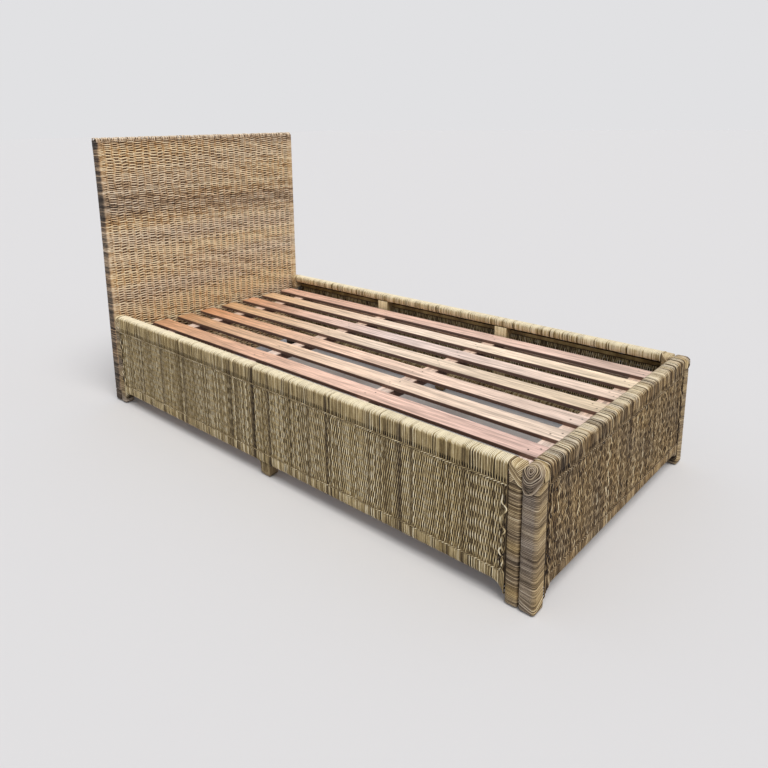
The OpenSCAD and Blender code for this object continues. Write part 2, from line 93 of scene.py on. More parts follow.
ahead = np.array([-math.sin(camera_turn) * math.cos(camera_dip),
                  math.cos(camera_turn) * math.cos(camera_dip),
                  -math.sin(camera_dip)])
level = unit(np.cross(ahead, (0, 0, 1)))
lifted = np.cross(level, ahead)
to_right = math.cos(camera_roll) * level + math.sin(camera_roll) * lifted
to_top = math.cos(camera_roll) * lifted - math.sin(camera_roll) * level

camera_data = bpy.data.cameras.new("camera")
camera_data.sensor_width = sensor_mm
camera_data.lens = sensor_mm * focal_px / image_side
camera_data.shift_x = (image_side / 2 - centre_px[0]) / image_side
camera_data.shift_y = (centre_px[1] - image_side / 2) / image_side
camera = put("camera", camera_data)
camera.matrix_world = axes_at(to_right, to_top, -ahead, camera_at)
bpy.context.scene.camera = camera
bpy.context.scene.view_settings.view_transform = "Standard"

# Studio: an even pale room and one very soft sun from over the footboard's left end, on a plain
# floor. Together they light an upward face at about the level at which its colour is written.
backdrop_hex = "#E1E1E3"
room_hex = "#F4F7FF"
room_strength = 0.425
sun_colour = (1.0, 0.965, 0.91)
sun_strength = 2.22
sun_softness = math.radians(35)
sun_from = np.array([-0.30, -0.62, 1.30])
floor_half = 60.0


def linear(hex_colour):
    """Turns an sRGB hex colour into linear red, green, blue and alpha: c / 12.92 where c is at most
    0.04045, and ((c + 0.055) / 1.055) ** 2.4 above it."""
    channels = np.array([int(hex_colour[i:i + 2], 16) / 255 for i in (1, 3, 5)])
    channels = np.where(channels <= 0.04045, channels / 12.92, ((channels + 0.055) / 1.055) ** 2.4)
    return (*channels, 1.0)


def add(tree, kind, feeds=None, **settings):
    """Adds a node. Settings are its own properties. Feeds gives an input's name or number with what
    goes into it: a value, a socket, or a node whose first output is meant."""
    node = tree.nodes.new(kind)
    for name, value in settings.items():
        setattr(node, name, value)
    for name, feed in (feeds or {}).items():
        if isinstance(feed, bpy.types.Node):
            feed = feed.outputs[0]
        if isinstance(feed, bpy.types.NodeSocket):
            tree.links.new(feed, node.inputs[name])
        else:
            node.inputs[name].default_value = feed
    return node


def calc(tree, operation, *values):
    """Adds a node that works out one operation on values, sockets or nodes."""
    return add(tree, "ShaderNodeMath", dict(enumerate(values)), operation=operation)


world = bpy.data.worlds.new("studio")
world.use_nodes = True
world.node_tree.nodes.clear()
bpy.context.scene.world = world
tree = world.node_tree
ray = add(tree, "ShaderNodeLightPath").outputs
seen = calc(tree, "ADD", ray["Is Camera Ray"], ray["Is Glossy Ray"])
seen = calc(tree, "ADD", seen, ray["Is Transmission Ray"])
room = add(tree, "ShaderNodeBackground", {"Color": linear(room_hex), "Strength": room_strength})
backdrop = add(tree, "ShaderNodeBackground", {"Color": linear(backdrop_hex), "Strength": 1.0})
room_mix = add(tree, "ShaderNodeMixShader", {0: seen, 1: room, 2: backdrop})
add(tree, "ShaderNodeOutputWorld", {"Surface": room_mix})

sun_data = bpy.data.lights.new("sun", "SUN")
sun_data.energy = sun_strength
sun_data.angle = sun_softness
sun_data.color = sun_colour
sun_axis = unit(sun_from)
sun_side = unit(np.cross((0, 0, 1), sun_axis))
sun = put("sun", sun_data)
sun.matrix_world = axes_at(sun_side, np.cross(sun_axis, sun_side), sun_axis, (0, 0, 0))

floor_material = bpy.data.materials.new("painted_floor")
floor_material.use_nodes = True
floor_inputs = floor_material.node_tree.nodes["Principled BSDF"].inputs
floor_inputs["Base Color"].default_value = linear(backdrop_hex)
floor_inputs["Roughness"].default_value = 0.9
floor_inputs["Specular IOR Level"].default_value = 0.1
floor_corners = [(x * floor_half, y * floor_half, 0) for x, y in ((-1, -1), (1, -1), (1, 1), (-1, 1))]
floor_mesh = bpy.data.meshes.new("floor")
floor_mesh.from_pydata(floor_corners, [], [(0, 1, 2, 3)])
floor_mesh.materials.append(floor_material)
floor = put("floor", floor_mesh)
floor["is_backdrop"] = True

# Pole frame: the posts and rails inside the cane are planed hardwood poles, tenoned and dowelled.
# Only slits between the strands show them, so they are a dull brown with a simple grain.
pole_grain = (250, 9, 60)


def new_material(name):
    """An empty node material and its tree."""
    material = bpy.data.materials.new(name)
    material.use_nodes = True
    material.node_tree.nodes.clear()
    return material, material.node_tree


def object_place(tree, scale=(1, 1, 1)):
    """The place on the object, in metres, stretched by a scale on each axis."""
    place = add(tree, "ShaderNodeTexCoord").outputs["Object"]
    return add(tree, "ShaderNodeMapping", {"Vector": place, "Scale": scale})


def noise(tree, place, detail, scale=1.0, distortion=0.0):
    """Smooth noise between 0 and 1 at a place."""
    feeds = {"Vector": place, "Scale": scale, "Detail": detail, "Distortion": distortion}
    return add(tree, "ShaderNodeTexNoise", feeds).outputs["Fac"]


def ramp(tree, value, shades):
    """Picks a colour by a value from 0 to 1 from hex shades that are spread evenly, darkest first."""
    node = add(tree, "ShaderNodeValToRGB", {"Fac": value})
    while len(node.color_ramp.elements) < len(shades):
        node.color_ramp.elements.new(0.5)
    for i, hex_colour in enumerate(shades):
        node.color_ramp.elements[i].position = i / (len(shades) - 1)
        node.color_ramp.elements[i].color = linear(hex_colour)
    return node


def surface(tree, feeds):
    """Ends a material's tree in a surface with these inputs."""
    shader = add(tree, "ShaderNodeBsdfPrincipled", feeds)
    add(tree, "ShaderNodeOutputMaterial", {"Surface": shader})


def give(node_name, material):
    """Gives a CAD node its material."""
    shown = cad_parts[node_name]
    shown.data.materials.clear()
    shown.data.materials.append(material)


# Planed, oiled hardwood: a low sheen broken up by open pores that are drawn out along the bed
pole_material, tree = new_material("planed_hardwood_pole")
grain = noise(tree, object_place(tree, pole_grain), 4.0)
bump = add(tree, "ShaderNodeBump", {"Height": grain, "Strength": 0.3, "Distance": 0.4 * MM})
colour = ramp(tree, grain, ("#4A3826", "#94744F"))
surface(tree, {"Base Color": colour, "Roughness": 0.6, "Normal": bump})

for post in ("headboard_left", "headboard_right", "footboard_left", "footboard_right",
             "left_foot", "left_head", "right_foot", "right_head"):
    give(post + "_post", pole_material)
for part in ("headboard", "footboard", "left", "right"):
    give(part + "_top_rail", pole_material)
    give(part + "_bottom_rail", pole_material)
give("headboard_middle_rail", pole_material)
give("headboard_centre_upright", pole_material)

# Headboard sleeve: round rattan core woven over upright stakes, round both faces and both edges of
# the pole frame, row on row from the feet to the top. Every second row lies over the stakes that
# the row below it lies under.
head_stake_pitch = 33 * MM
head_stake_half = (9 * MM, 1 * MM)
head_stakes_each_side = 14
row_pitch = 5.0 * MM
strand_thick = 1.6 * MM
corner_r = 10 * MM
weave_swing = 2.2 * MM
rings_per_wave = 6
patch_scale = (22, 0, 7.31)
fine_scale = (160, 3.5, 5.17)
lean_most = 3.5 * MM
lean_from = 0.25
# How dark the painted shade in the groove beside each strand is
painted_groove_shade = 0.60
grey_band_z = 0.815
grey_band_half = 0.08
grey_band_tilt = 0.05
top_band_z = 1.060
map_gap = 0.4


def corners(node):
    """A CAD node's lowest and highest corner, as arrays."""
    return [np.array(corner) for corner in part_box(node)]


def rise(value, start, width):
    """0 up to start, 1 from start + width on, and straight between. Where width is negative it is 1
    up to start + width and 0 from start on."""
    return np.clip((value - start) / width, 0, 1)


def hump(value, middle, half):
    """1 at the middle, and less away from it, as exp(-((value - middle) / half) ** 2)."""
    return np.exp(-((value - middle) / half) ** 2)


def drift(seed, x, y, size_x, size_y, waves=7):
    """Smooth random field about 0, mostly within 1.4: the sum of sine waves over the root of their
    number, each with a seeded phase and a wave vector drawn from a normal distribution over
    1 / size_x and 1 / size_y."""
    rng = np.random.default_rng(seed)
    total = 0.0
    for _ in range(waves):
        per_x = rng.normal(0, 1 / size_x)
        per_y = rng.normal(0, 1 / size_y)
        phase = rng.uniform(0, 2 * np.pi)
        total = total + np.sin(2 * np.pi * (per_x * x + per_y * y) + phase)
    return total / math.sqrt(waves)


def line_drift(seed, x, size):
    """The same field along one line, with waves about as long as size."""
    return drift(seed, x, 0, size, 1)


def strands(paths, half_width, half_thick, tone, warm, across=None, facing=None, depth=-1.0, hollow=0.0,
            sides=5, closed=False):
    """Sweeps an oval along each path: a ring's corner at angle a lies at path + half_width cos(a)
    sideways + half_thick sin(a) outward. Outward is tangent x across, or facing where that is
    given, and sideways is outward x tangent. Painted shade darkens the corners that look into the
    weave, by hollow x (1 + depth sin a) / 2, where depth is -1 at the face that outward points to, 1
    at the far one. In the map each face of a ring is one band of the strand's strip, and map_gap of
    a band parts strips."""
    count, rings = paths.shape[:2]
    if closed:
        tangent = unit(np.roll(paths, -1, 1) - np.roll(paths, 1, 1))
    else:
        tangent = unit(np.gradient(paths, axis=1))
    if facing is not None:
        across = np.cross(facing, tangent)
    outward = unit(np.cross(tangent, np.broadcast_to(across, paths.shape)))
    sideways = np.cross(outward, tangent)
    angle = (np.arange(sides) + 0.25) * 2 * np.pi / sides
    wide = (np.ones((count, rings)) * half_width)[..., None, None]
    thick = (np.ones((count, rings)) * half_thick)[..., None, None]
    points = (paths[:, :, None] + wide * np.cos(angle)[:, None] * sideways[:, :, None]
              + thick * np.sin(angle)[:, None] * outward[:, :, None])
    step = np.linalg.norm(np.diff(paths, axis=1), axis=-1)
    along = np.concatenate([np.zeros((count, 1)), np.cumsum(step, 1)], 1)
    number = np.arange(count)[:, None, None]
    fibre = np.stack(np.broadcast_arrays(along[:, :, None], np.cos(angle), number), -1)
    index = np.arange(count * rings * sides).reshape(count, rings, sides)
    start = index if closed else index[:, :-1]
    end = np.roll(index, -1, 1) if closed else index[:, 1:]
    quads = np.stack([start, np.roll(start, -1, 2), np.roll(end, -1, 2), end], -1).reshape(-1, 4)
    ring = np.broadcast_to(np.arange(start.shape[1])[:, None], start.shape)
    side = np.broadcast_to(np.arange(sides), start.shape)
    strip = np.stack([np.stack([(ring + a) / rings, number + (side + b) / (sides + map_gap)], -1)
                      for a, b in ((0, 0), (0, 1), (1, 1), (1, 0))], -2).reshape(-1, 4, 2)
    faces, strips = [quads], [strip]
    if not closed:
        for cap, at in ((index[:, 0, ::-1], 0.0), (index[:, -1], 1 - 1 / rings)):
            zigzag = at + (np.arange(sides) % 2) * 0.5 / rings
            row, along_strip = np.meshgrid(np.arange(count), zigzag, indexing="ij")
            faces.append(cap)
            strips.append(np.stack([along_strip, row + np.arange(sides) / (sides + map_gap)], -1))
    even = np.ones((count, rings, sides))
    tone, warm, depth = (even * (np.ones((count, rings)) * value)[..., None]
                         for value in (tone, warm, depth))
    # Painted shade: corners that look into the weave are darker by hollow
    tone = tone - hollow * (1 + depth * np.sin(angle)) / 2
    return {"points": points.reshape(-1, 3), "faces": faces, "strips": strips, "count": count,
            "fibre": fibre.reshape(-1, 3), "tone": tone.ravel(), "warm": warm.ravel()}


def set_points(mesh, key, kind, field, values):
    """Stores an attribute of each point of a mesh."""
    mesh.attributes.new(key, kind, "POINT").data.foreach_set(field, values.astype(np.float32).ravel())


def strand_piece(name, bundles, material):
    """Joins bundles of strands into one piece. Its map holds one strip a strand, side by side, and its
    attributes are each point's tone, its warmth, and fibre, which is metres along, place across and
    number of the strand."""
    loops, totals, strips = [], [], []
    points, rows = 0, 0
    for bundle in bundles:
        bundle["fibre"][:, 2] += rows
        for faces, strip in zip(bundle["faces"], bundle["strips"]):
            loops.append(faces.ravel() + points)
            totals.append(np.full(len(faces), faces.shape[1]))
            strips.append(strip.reshape(-1, 2) + (0, rows))
        points += len(bundle["points"])
        rows += bundle["count"]
    loops, totals, strips = np.concatenate(loops), np.concatenate(totals), np.concatenate(strips)
    joined = {key: np.concatenate([bundle[key] for bundle in bundles])
              for key in ("points", "tone", "warm", "fibre")}
    mesh = bpy.data.meshes.new(name)
    mesh.vertices.add(points)
    mesh.vertices.foreach_set("co", joined["points"].astype(np.float32).ravel())
    mesh.loops.add(len(loops))
    mesh.loops.foreach_set("vertex_index", loops.astype(np.int32))
    mesh.polygons.add(len(totals))
    mesh.polygons.foreach_set("loop_start", (np.cumsum(totals) - totals).astype(np.int32))
    mesh.update(calc_edges=True)
    mesh.shade_smooth()
    strip_map = mesh.uv_layers.new(name="OFBake")
    strip_map.uv.foreach_set("vector", (strips / (1, rows)).astype(np.float32).ravel())
    set_points(mesh, "tone", "FLOAT", "value", joined["tone"])
    set_points(mesh, "warm", "FLOAT", "value", joined["warm"])
    set_points(mesh, "fibre", "FLOAT_VECTOR", "vector", joined["fibre"])
    mesh.materials.append(material)
    return put(name, mesh)


def attribute(tree, name, output):
    """Reads an attribute of the mesh."""
    return add(tree, "ShaderNodeAttribute", attribute_name=name).outputs[output]


def remap(tree, value, before, after, step="LINEAR"):
    """Moves a value from one range to another and keeps it there, in a straight or a smooth step."""
    feeds = {"Value": value, "From Min": before[0], "From Max": before[1], "To Min": after[0],
             "To Max": after[1]}
    return add(tree, "ShaderNodeMapRange", feeds, interpolation_type=step)


def cane_material(name, cool, warm, roughness, stake_pitch=None):
    """Rattan core: the tone of each strand picks a shade from the cool or the warm list, darkest
    first, mixed by its warmth. Patches some centimetres long and fibres along the strand shift the
    tone, and the fibres raise the skin a little. Painted shade darkens the groove beside each strand,
    by the smooth step of its place across. With stake_pitch, painted shade also darkens the line
    midway between upright stakes, where strands dive, by the smooth step of |cos(pi x /
    stake_pitch)|, with noise that moves the line."""
    material, tree = new_material(name)
    fibre = attribute(tree, "fibre", "Vector")
    patch_at = add(tree, "ShaderNodeVectorMath", {0: fibre, 1: patch_scale}, operation="MULTIPLY")
    fine_at = add(tree, "ShaderNodeVectorMath", {0: fibre, 1: fine_scale}, operation="MULTIPLY")
    fine = noise(tree, fine_at, 2.0)
    shade = calc(tree, "MULTIPLY_ADD", noise(tree, patch_at, 3.0), 0.75, attribute(tree, "tone", "Fac"))
    shade = calc(tree, "MULTIPLY_ADD", fine, 0.35, shade)
    shade = calc(tree, "SUBTRACT", shade, 0.55)
    beside = calc(tree, "ABSOLUTE", add(tree, "ShaderNodeSeparateXYZ", {0: fibre}).outputs["Y"])
    # Painted shade in the groove beside each strand
    groove = remap(tree, beside, (0.48, 0.92), (0.0, painted_groove_shade), "SMOOTHSTEP")
    shade = calc(tree, "SUBTRACT", shade, groove)
    # Painted shade along the lines where the strands dive between stakes
    if stake_pitch:
        place = object_place(tree)
        at_x = add(tree, "ShaderNodeSeparateXYZ", {0: place})
        swing_at = calc(tree, "MULTIPLY", at_x, math.pi / stake_pitch)
        swing_at = calc(tree, "MULTIPLY_ADD", noise(tree, place, 2.0, 16.0), 3.0, swing_at)
        swing_at = calc(tree, "COSINE", calc(tree, "SUBTRACT", swing_at, 1.5))
        dive = remap(tree, calc(tree, "ABSOLUTE", swing_at), (0.0, 0.45), (0.24, 0.0), "SMOOTHSTEP")
        shade = calc(tree, "SUBTRACT", shade, dive)
    feeds = {0: attribute(tree, "warm", "Fac"), 6: ramp(tree, shade, cool), 7: ramp(tree, shade, warm)}
    colour = add(tree, "ShaderNodeMix", feeds, data_type="RGBA").outputs[2]
    bump = add(tree, "ShaderNodeBump", {"Height": fine, "Strength": 0.35, "Distance": 0.3 * MM})
    surface(tree, {"Base Color": colour, "Roughness": roughness, "Normal": bump,
                   "Specular IOR Level": 0.22})
    return material


def lean(points):
    """The headboard's left edge bows in, most at three quarters of its height: x moves by lean_most x
    sin(pi (z / height) ** 2.2) x the square of the nearness to the edge, from lean_from outwards."""
    high = np.sin(np.pi * np.clip(points[..., 2] / cad_high[2], 0, 1) ** 2.2)
    near = rise(-points[..., 0], lean_from, cad_high[0] - lean_from)
    return points + (high * near ** 2 * lean_most)[..., None] * np.array([1.0, 0, 0])


# Sun-dried rattan core with its skin off: matt, warm tan, greyer where the cane is older
head_cane = cane_material("headboard_rattan_core",
                          ("#372E28", "#6C6156", "#AC947A", "#D5BCA0", "#EFDFCA"),
                          ("#452C18", "#875E38", "#C19762", "#E6C18F", "#F8E4BC"), 0.62,
                          head_stake_pitch)

# Each row's path: over and under the stakes along the front, round an edge, back and round the other
head_low, head_high = corners("headboard_weave")
weave_t = corners("headboard_top_rail")[0][1] - head_low[1]
head_t = head_high[1] - head_low[1]
half_x = (head_high[0] - head_low[0]) / 2
straight_x = half_x - corner_r
rng = np.random.default_rng(21)
rows = int((head_high[2] - head_low[2]) / row_pitch)
row_h = rng.uniform(0.78, 1.22, rows)
row_h = (row_h * (head_high[2] - head_low[2]) / row_h.sum())[:, None]
row_z = head_low[2] + np.cumsum(row_h, 0) - row_h / 2
face_x = np.linspace(-straight_x, straight_x, int(straight_x / head_stake_pitch * rings_per_wave))
over = np.where(np.arange(rows) % 2 == 0, 1.0, -1.0)[:, None]
ease = rise(np.abs(face_x), straight_x, -9 * MM)
row_shift = rng.normal(0, 1.8 * MM, rows)[:, None]
shifted_x = face_x + drift(13, face_x, row_z, 0.12, 0.06) * 4 * MM + row_shift
swing = weave_swing * np.cos(np.pi * shifted_x / head_stake_pitch) * over * ease
swing = swing * (1 + 0.2 * drift(11, face_x, row_z, 0.05, 0.03))
face_v = strand_thick + (weave_t / 2 - strand_thick) * ease + swing
wide_x = np.broadcast_to(face_x, face_v.shape)
turn = np.radians([22, 45, 68])
turn_x = np.tile(straight_x + (corner_r - strand_thick) * np.sin(turn), (rows, 1))
turn_v = np.tile(corner_r - (corner_r - strand_thick) * np.cos(turn), (rows, 1))
loop_x = np.concatenate([wide_x, turn_x, turn_x[:, ::-1], wide_x[:, ::-1], -turn_x, -turn_x[:, ::-1]], 1)
loop_v = np.concatenate([face_v, turn_v, head_t - turn_v[:, ::-1],
                         head_t - face_v[:, ::-1], head_t - turn_v, turn_v[:, ::-1]], 1)
wave_z = drift(12, loop_x, row_z, 0.16, 0.12) * 2.4 * MM
loop_z = row_z + wave_z * rise(row_z, head_low[2], 20 * MM)
row_paths = lean(np.stack([loop_x, head_low[1] + loop_v, loop_z], -1))
face_depth = np.clip((face_v - weave_t / 2) / weave_swing, -1, 1)
edge_depth = np.full((rows, 2 * len(turn)), -1.0)
row_depth = np.concatenate([face_depth, edge_depth, face_depth[:, ::-1], edge_depth], 1)

# Each row has its own tone, a few are pale, and new lengths are spliced in along it. The cane is
# greyer in a band across the board and along the top. Painted shade darkens and greys the rows
# near the corners and round the edges.
row_tone = rng.normal(0, 0.10, rows)[:, None] + 0.22 * (rng.random(rows) < 0.07)[:, None] + 1.23
row_tone = row_tone + 0.04 * drift(22, row_z + 0.06 * loop_x, loop_x, 0.07, 1.3)
row_tone = row_tone + 0.13 * drift(23, loop_x, row_z * 60, 0.11, 1.0)
grey_band = hump(loop_z + grey_band_tilt * loop_x, grey_band_z, grey_band_half)
top_band = rise(loop_z, top_band_z, 8 * MM)
# Painted shade near the corners and on the edge faces
corner_shade = rise(np.abs(loop_x), straight_x - 10 * MM, 6 * MM)
edge_shade = rise(np.abs(loop_x), straight_x + 2 * MM, 6 * MM)
row_tone = row_tone - 0.24 * grey_band - 0.22 * top_band - 0.30 * corner_shade
row_tone = row_tone - edge_shade * (0.54 + 0.16 * rise(loop_z, 0.50, -0.10))
row_tone = row_tone + 0.06 * rise(loop_z, 0.78, -0.05)
row_warm = 0.70 - 0.3 * grey_band - 0.3 * top_band - 0.75 * edge_shade
row_warm = np.clip(row_warm + 0.25 * drift(24, loop_z, loop_x, 0.15, 1.6), 0, 1)

third = (rows + 2) // 3
for i, part in enumerate(("low", "middle", "high")):
    chosen = slice(i * third, (i + 1) * third)
    # hollow sets the painted shade in the hollows of the weave
    bundles = [strands(row_paths[chosen], row_h[chosen] * 0.56, strand_thick, row_tone[chosen],
                       row_warm[chosen], across=(0, 0, 1), depth=row_depth[chosen], hollow=0.70,
                       closed=True)]
    if part == "low":
        stake_x = np.arange(-head_stakes_each_side, head_stakes_each_side + 1) * head_stake_pitch
        ends = np.array([[0, 0, head_low[2] + 1 * MM], [0, 0, head_high[2]]])
        for stake_y in (head_low[1] + weave_t / 2, head_high[1] - weave_t / 2):
            middle = np.stack([stake_x, np.full(len(stake_x), stake_y), 0 * stake_x], -1)
            stakes = lean(middle[:, None] + ends)
            # The stakes' near-black tone is painted shade, as they lie inside the weave
            bundles.append(strands(stakes, *head_stake_half, 0.2, 0.6, across=(1, 0, 0)))
    piece = strand_piece("headboard_weave_" + part, bundles, head_cane)
    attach(piece, "root")
    if part == "low":
        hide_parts("headboard_weave")

# Border of the headboard: the stakes' pale ends are bent over the top edge from the front to the
# back, each a little askew and some of them standing higher than others.
border_pitch = 5.2 * MM
border_slant = 12 * MM

# Outline of one bent end, from the front over the top edge to the back: inwards, and up
border_v = np.array([1.6, 1.8, 4.0, 12, 24, 36, 44, 46.2, 46.4]) * MM
border_z = np.array([-9.0, 2.0, 6.3, 7.3, 7.4, 7.3, 6.3, 2.0, -9.0]) * MM

border_low, border_high = corners("headboard_border")
border_count = int((border_high[0] - border_low[0] - 10 * MM) / border_pitch)
rng = np.random.default_rng(31)
border_x = np.linspace(border_low[0] + 5 * MM, border_high[0] - 5 * MM, border_count)
border_x = (border_x + rng.normal(0, 0.6 * MM, border_count))[:, None]
lift = rng.uniform(-1.8, 1.4, border_count)[:, None] * MM * rise(border_z, -9 * MM, 14 * MM)
askew = border_slant * (border_v / head_t - 0.5) + rng.normal(0, 1.5 * MM, border_count)[:, None]
bent_x = np.clip(border_x + askew, border_low[0] + 2 * MM, border_high[0] - 2 * MM)
bent = np.stack([bent_x, border_low[1] + np.broadcast_to(border_v, bent_x.shape),
                 border_low[2] + border_z + lift], -1)
# The parts of each end that turn down the faces are darker: painted shade under the bend
border_tone = rng.normal(1.22, 0.12, border_count)[:, None] - 0.50 * (border_z < 3 * MM)
bundle = strands(lean(bent), 2.5 * MM, strand_thick, border_tone, 0.2, across=(1, 0, 0))
piece = strand_piece("headboard_border_loops", [bundle], head_cane)
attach(piece, "root")
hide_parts("headboard_border")

# Posts and feet: rattan core is wound close round each post, turn on turn, from under the foot to
# the crown. On the footboard's crowns it is laid in nested pointed loops, and on the side panels'
# crowns in two bundles that cross.
foot_r = 13 * MM
turn_rings = 24
turn_thick = 1.5 * MM
slung_z = 34 * MM
slung_half = 22 * MM
slung_more = 14
slung_close = 36

# Older core, greyed by handling and wound tight, so the turns show as fine level lines, with painted
# shade in the grooves between them
post_cane = cane_material("wound_rattan_core", ("#2E2620", "#5F5247", "#8F8173", "#B9AB9A", "#DDD1C0"),
                          ("#3A2C1C", "#705B3B", "#A68C5E", "#CDB37F", "#EBD8AC"), 0.55)


def rounded(a, b, size_a, size_b, radii):
    """Distance from a point to a rectangle from the origin to (size_a, size_b), negative inside. The
    corners' radii come in the order low-low, high-low, low-high, high-high."""
    r = np.where(b > size_b / 2, np.where(a > size_a / 2, radii[3], radii[2]),
                 np.where(a > size_a / 2, radii[1], radii[0]))
    past_a = np.abs(a - size_a / 2) - size_a / 2 + r
    past_b = np.abs(b - size_b / 2) - size_b / 2 + r
    outside = np.hypot(np.maximum(past_a, 0), np.maximum(past_b, 0))
    return outside + np.minimum(np.maximum(past_a, past_b), 0) - r


def post_distance(post, at):
    """Distance to a post's skin, negative inside: the largest of the distances to its plan, its front
    outline and its side outline, each a rectangle with round corners."""
    u, v, z = at[..., 0], at[..., 1], at[..., 2]
    w, t, h = post["size"]
    plan = rounded(u, v, w, t, [corner_r] * 4)
    front = rounded(u, z, w, h, [foot_r, foot_r, post["corner"], 0.0])
    side = rounded(v, z, t, h, [foot_r, foot_r, post["crown"], post["crown"]])
    return np.maximum(plan, np.maximum(front, side))


def onto_post(post, base, direction, sunk):
    """Follows each ray from a base inside the post out to where the skin lies sunk deep, by 60 steps,
    each as long as the distance that is left. Gives the places and the skin's outward directions."""
    base, direction = np.broadcast_arrays(base, unit(direction))
    reach = np.zeros(base.shape[:-1])
    for _ in range(60):
        reach = reach - (post_distance(post, base + reach[..., None] * direction) + sunk)
    at = base + reach[..., None] * direction
    nudge = 0.2 * MM * np.eye(3)
    slope = np.stack([post_distance(post, at + n) - post_distance(post, at - n) for n in nudge], -1)
    return at, unit(slope + 1e-9)


def in_bed(post, local, turned=False):
    """Takes places (or, turned, directions) from a post's own axes u, v and z to the bed's."""
    axes = np.array([post["u"], post["v"], (0, 0, 1)])
    return local @ axes + (0 if turned else np.array(post["at"]))


def on_skin(post, at, out, half_width, tone, warm, closed=True):
    """Strands that lie at these places of a post's skin and face out from it."""
    return strands(in_bed(post, at), half_width, turn_thick, tone, warm,
                   facing=in_bed(post, out, True), closed=closed)


def wound(post, low, high, pitch, tilt, seed, sink=0.0, sling=0.0):
    """Turns round a post: each is the post's section by a plane through the turn's level that climbs
    by tilt across u. Near the foot the planes also climb by sling across u and v, so the turns hang
    in nested bows under the outer edge, most at slung_z. There are slung_more turns more then, and
    the lowest slung_close lie close. The turns' widths vary, and add up to the height from low to
    high, and the highest turns lie deeper by sink."""
    rng = np.random.default_rng(seed)
    more, close = (slung_more, slung_close) if sling else (0, 0)
    count = int((high - low) / pitch) + more
    width = rng.uniform(0.75, 1.25, count)
    width[:close] *= 0.6
    width *= (high - low) / width.sum()
    level = low + np.cumsum(width) - width / 2
    width = np.maximum(width, pitch * 0.8)
    w, t, _ = post["size"]
    angle = np.arange(turn_rings) * 2 * np.pi / turn_rings
    angle = angle + 0.12 * np.sin(4 * angle)
    climb = tilt * rise(level, 6 * MM, 40 * MM)[:, None]
    slung = (sling * hump(level, slung_z, slung_half) * rise(level, 5 * MM, 10 * MM))[:, None]
    up = (climb + slung) * np.cos(angle) + slung * np.sin(angle)
    direction = np.stack(np.broadcast_arrays(np.cos(angle), np.sin(angle), up), -1)
    base = np.stack([np.full(count, w / 2), np.full(count, t / 2), level], -1)[:, None]
    depth = turn_thick + sink * rise(level, high - 22 * MM, 6 * MM)[:, None]
    depth = depth + rng.normal(0, 0.12 * MM, count)[:, None]
    at, out = onto_post(post, base, direction, depth)
    at[..., 2] += drift(seed, at[..., 0], at[..., 2], 0.04, 0.02) * 0.35 * MM
    tone = post["tone"](at, level[:, None], seed)
    warm = post["warm"](at, level[:, None], seed)
    return on_skin(post, at, out, width[:, None] * 0.52, tone, warm)


def whorl(post, seed, reach=60 * MM, pitch=5.2 * MM, rings=36):
    """Pointed loops round a crown: a loop's lowest point leaves the crown's axis by an angle that
    grows from loop to loop by one strand along the skin. Elsewhere the angle is 0.70 of that, with a
    hump round the lowest point and a small one round the highest, and the loop is where the rays at
    its angles meet the skin. The wide loops lie on the turns."""
    rng = np.random.default_rng(seed)
    w, t, h = post["size"]
    base = np.array([w * 0.52, t / 2, h - 25 * MM])
    axis = unit(np.array([-1.0, 0.12, 0.95]))
    down = unit(np.array([0, 0, -1.0]) - np.dot((0, 0, -1.0), axis) * axis)
    side = np.cross(axis, down)
    opening = np.linspace(0, np.radians(108), 400)
    line = np.cos(opening)[:, None] * axis + np.sin(opening)[:, None] * down
    at, _ = onto_post(post, base, line, turn_thick)
    gone = np.concatenate([[0], np.cumsum(np.linalg.norm(np.diff(at, axis=0), axis=1))])
    wanted = np.arange(0.5, reach / pitch)[:, None] * pitch
    angle = np.interp(wanted, gone, opening)
    theta = np.arange(rings) * 2 * np.pi / rings
    from_bottom = np.minimum(theta, 2 * np.pi - theta)
    pointed = 0.70 + 0.30 * hump(from_bottom, 0, 0.60) + 0.06 * hump(theta, np.pi, 0.4)
    angle = angle * pointed * (1 + 0.03 * drift(seed, theta, wanted, 3.0, 0.02))
    leaving = np.cos(theta)[:, None] * down + np.sin(theta)[:, None] * side
    direction = np.cos(angle)[..., None] * axis + np.sin(angle)[..., None] * leaving
    raised = (2.1 + 0.6 * np.clip(wanted / reach, 0, 1)) * MM
    at, out = onto_post(post, base, direction, turn_thick - raised)
    tone = rng.normal(0.62, 0.15, wanted.shape) - 0.10 * np.cos(theta)
    warm = np.clip(0.15 + 0.45 * rise(at[..., 0], 0, w) + rng.normal(0, 0.08, wanted.shape), 0, 1)
    return on_skin(post, at, out, pitch * (0.08 + 0.44 * pointed), tone, warm)


def laid_over(post, base, fan, theta, sunk, half_width, tone, warm):
    """Strands over a crown from its outer face to its inner one: each meets the skin along rays from
    its base in a plane that leans by its fan angle towards the post's outer end, at angles theta
    from the plane's upward line."""
    rising = -np.sin(fan)[:, None] * np.array([1.0, 0, 0]) + np.cos(fan)[:, None] * np.array([0, 0, 1.0])
    direction = (np.cos(theta)[None, :, None] * rising[:, None]
                 + np.sin(theta)[None, :, None] * np.array([0, 1.0, 0]))
    at, out = onto_post(post, base, direction, sunk)
    return on_skin(post, at, out, half_width, tone, warm, closed=False)


def neck(post, seed, pitch=3.3 * MM):
    """Strands side by side over a footboard crown's inner part, where the whorl ends, from low on the
    outer face to low on the inner one."""
    w, t, h = post["size"]
    u = np.arange(23 * MM, w + 1 * MM, pitch)
    base = np.stack([u, np.full(len(u), t / 2), np.full(len(u), h - 22 * MM)], -1)[:, None]
    fan = np.radians(np.linspace(12, 0, len(u)))
    tone = np.random.default_rng(seed).normal(0.80, 0.14, len(u))[:, None]
    theta = np.radians(np.linspace(-122, 112, 21))
    return laid_over(post, base, fan, theta, turn_thick - 1.6 * MM, 1.9 * MM, tone, 0.85)


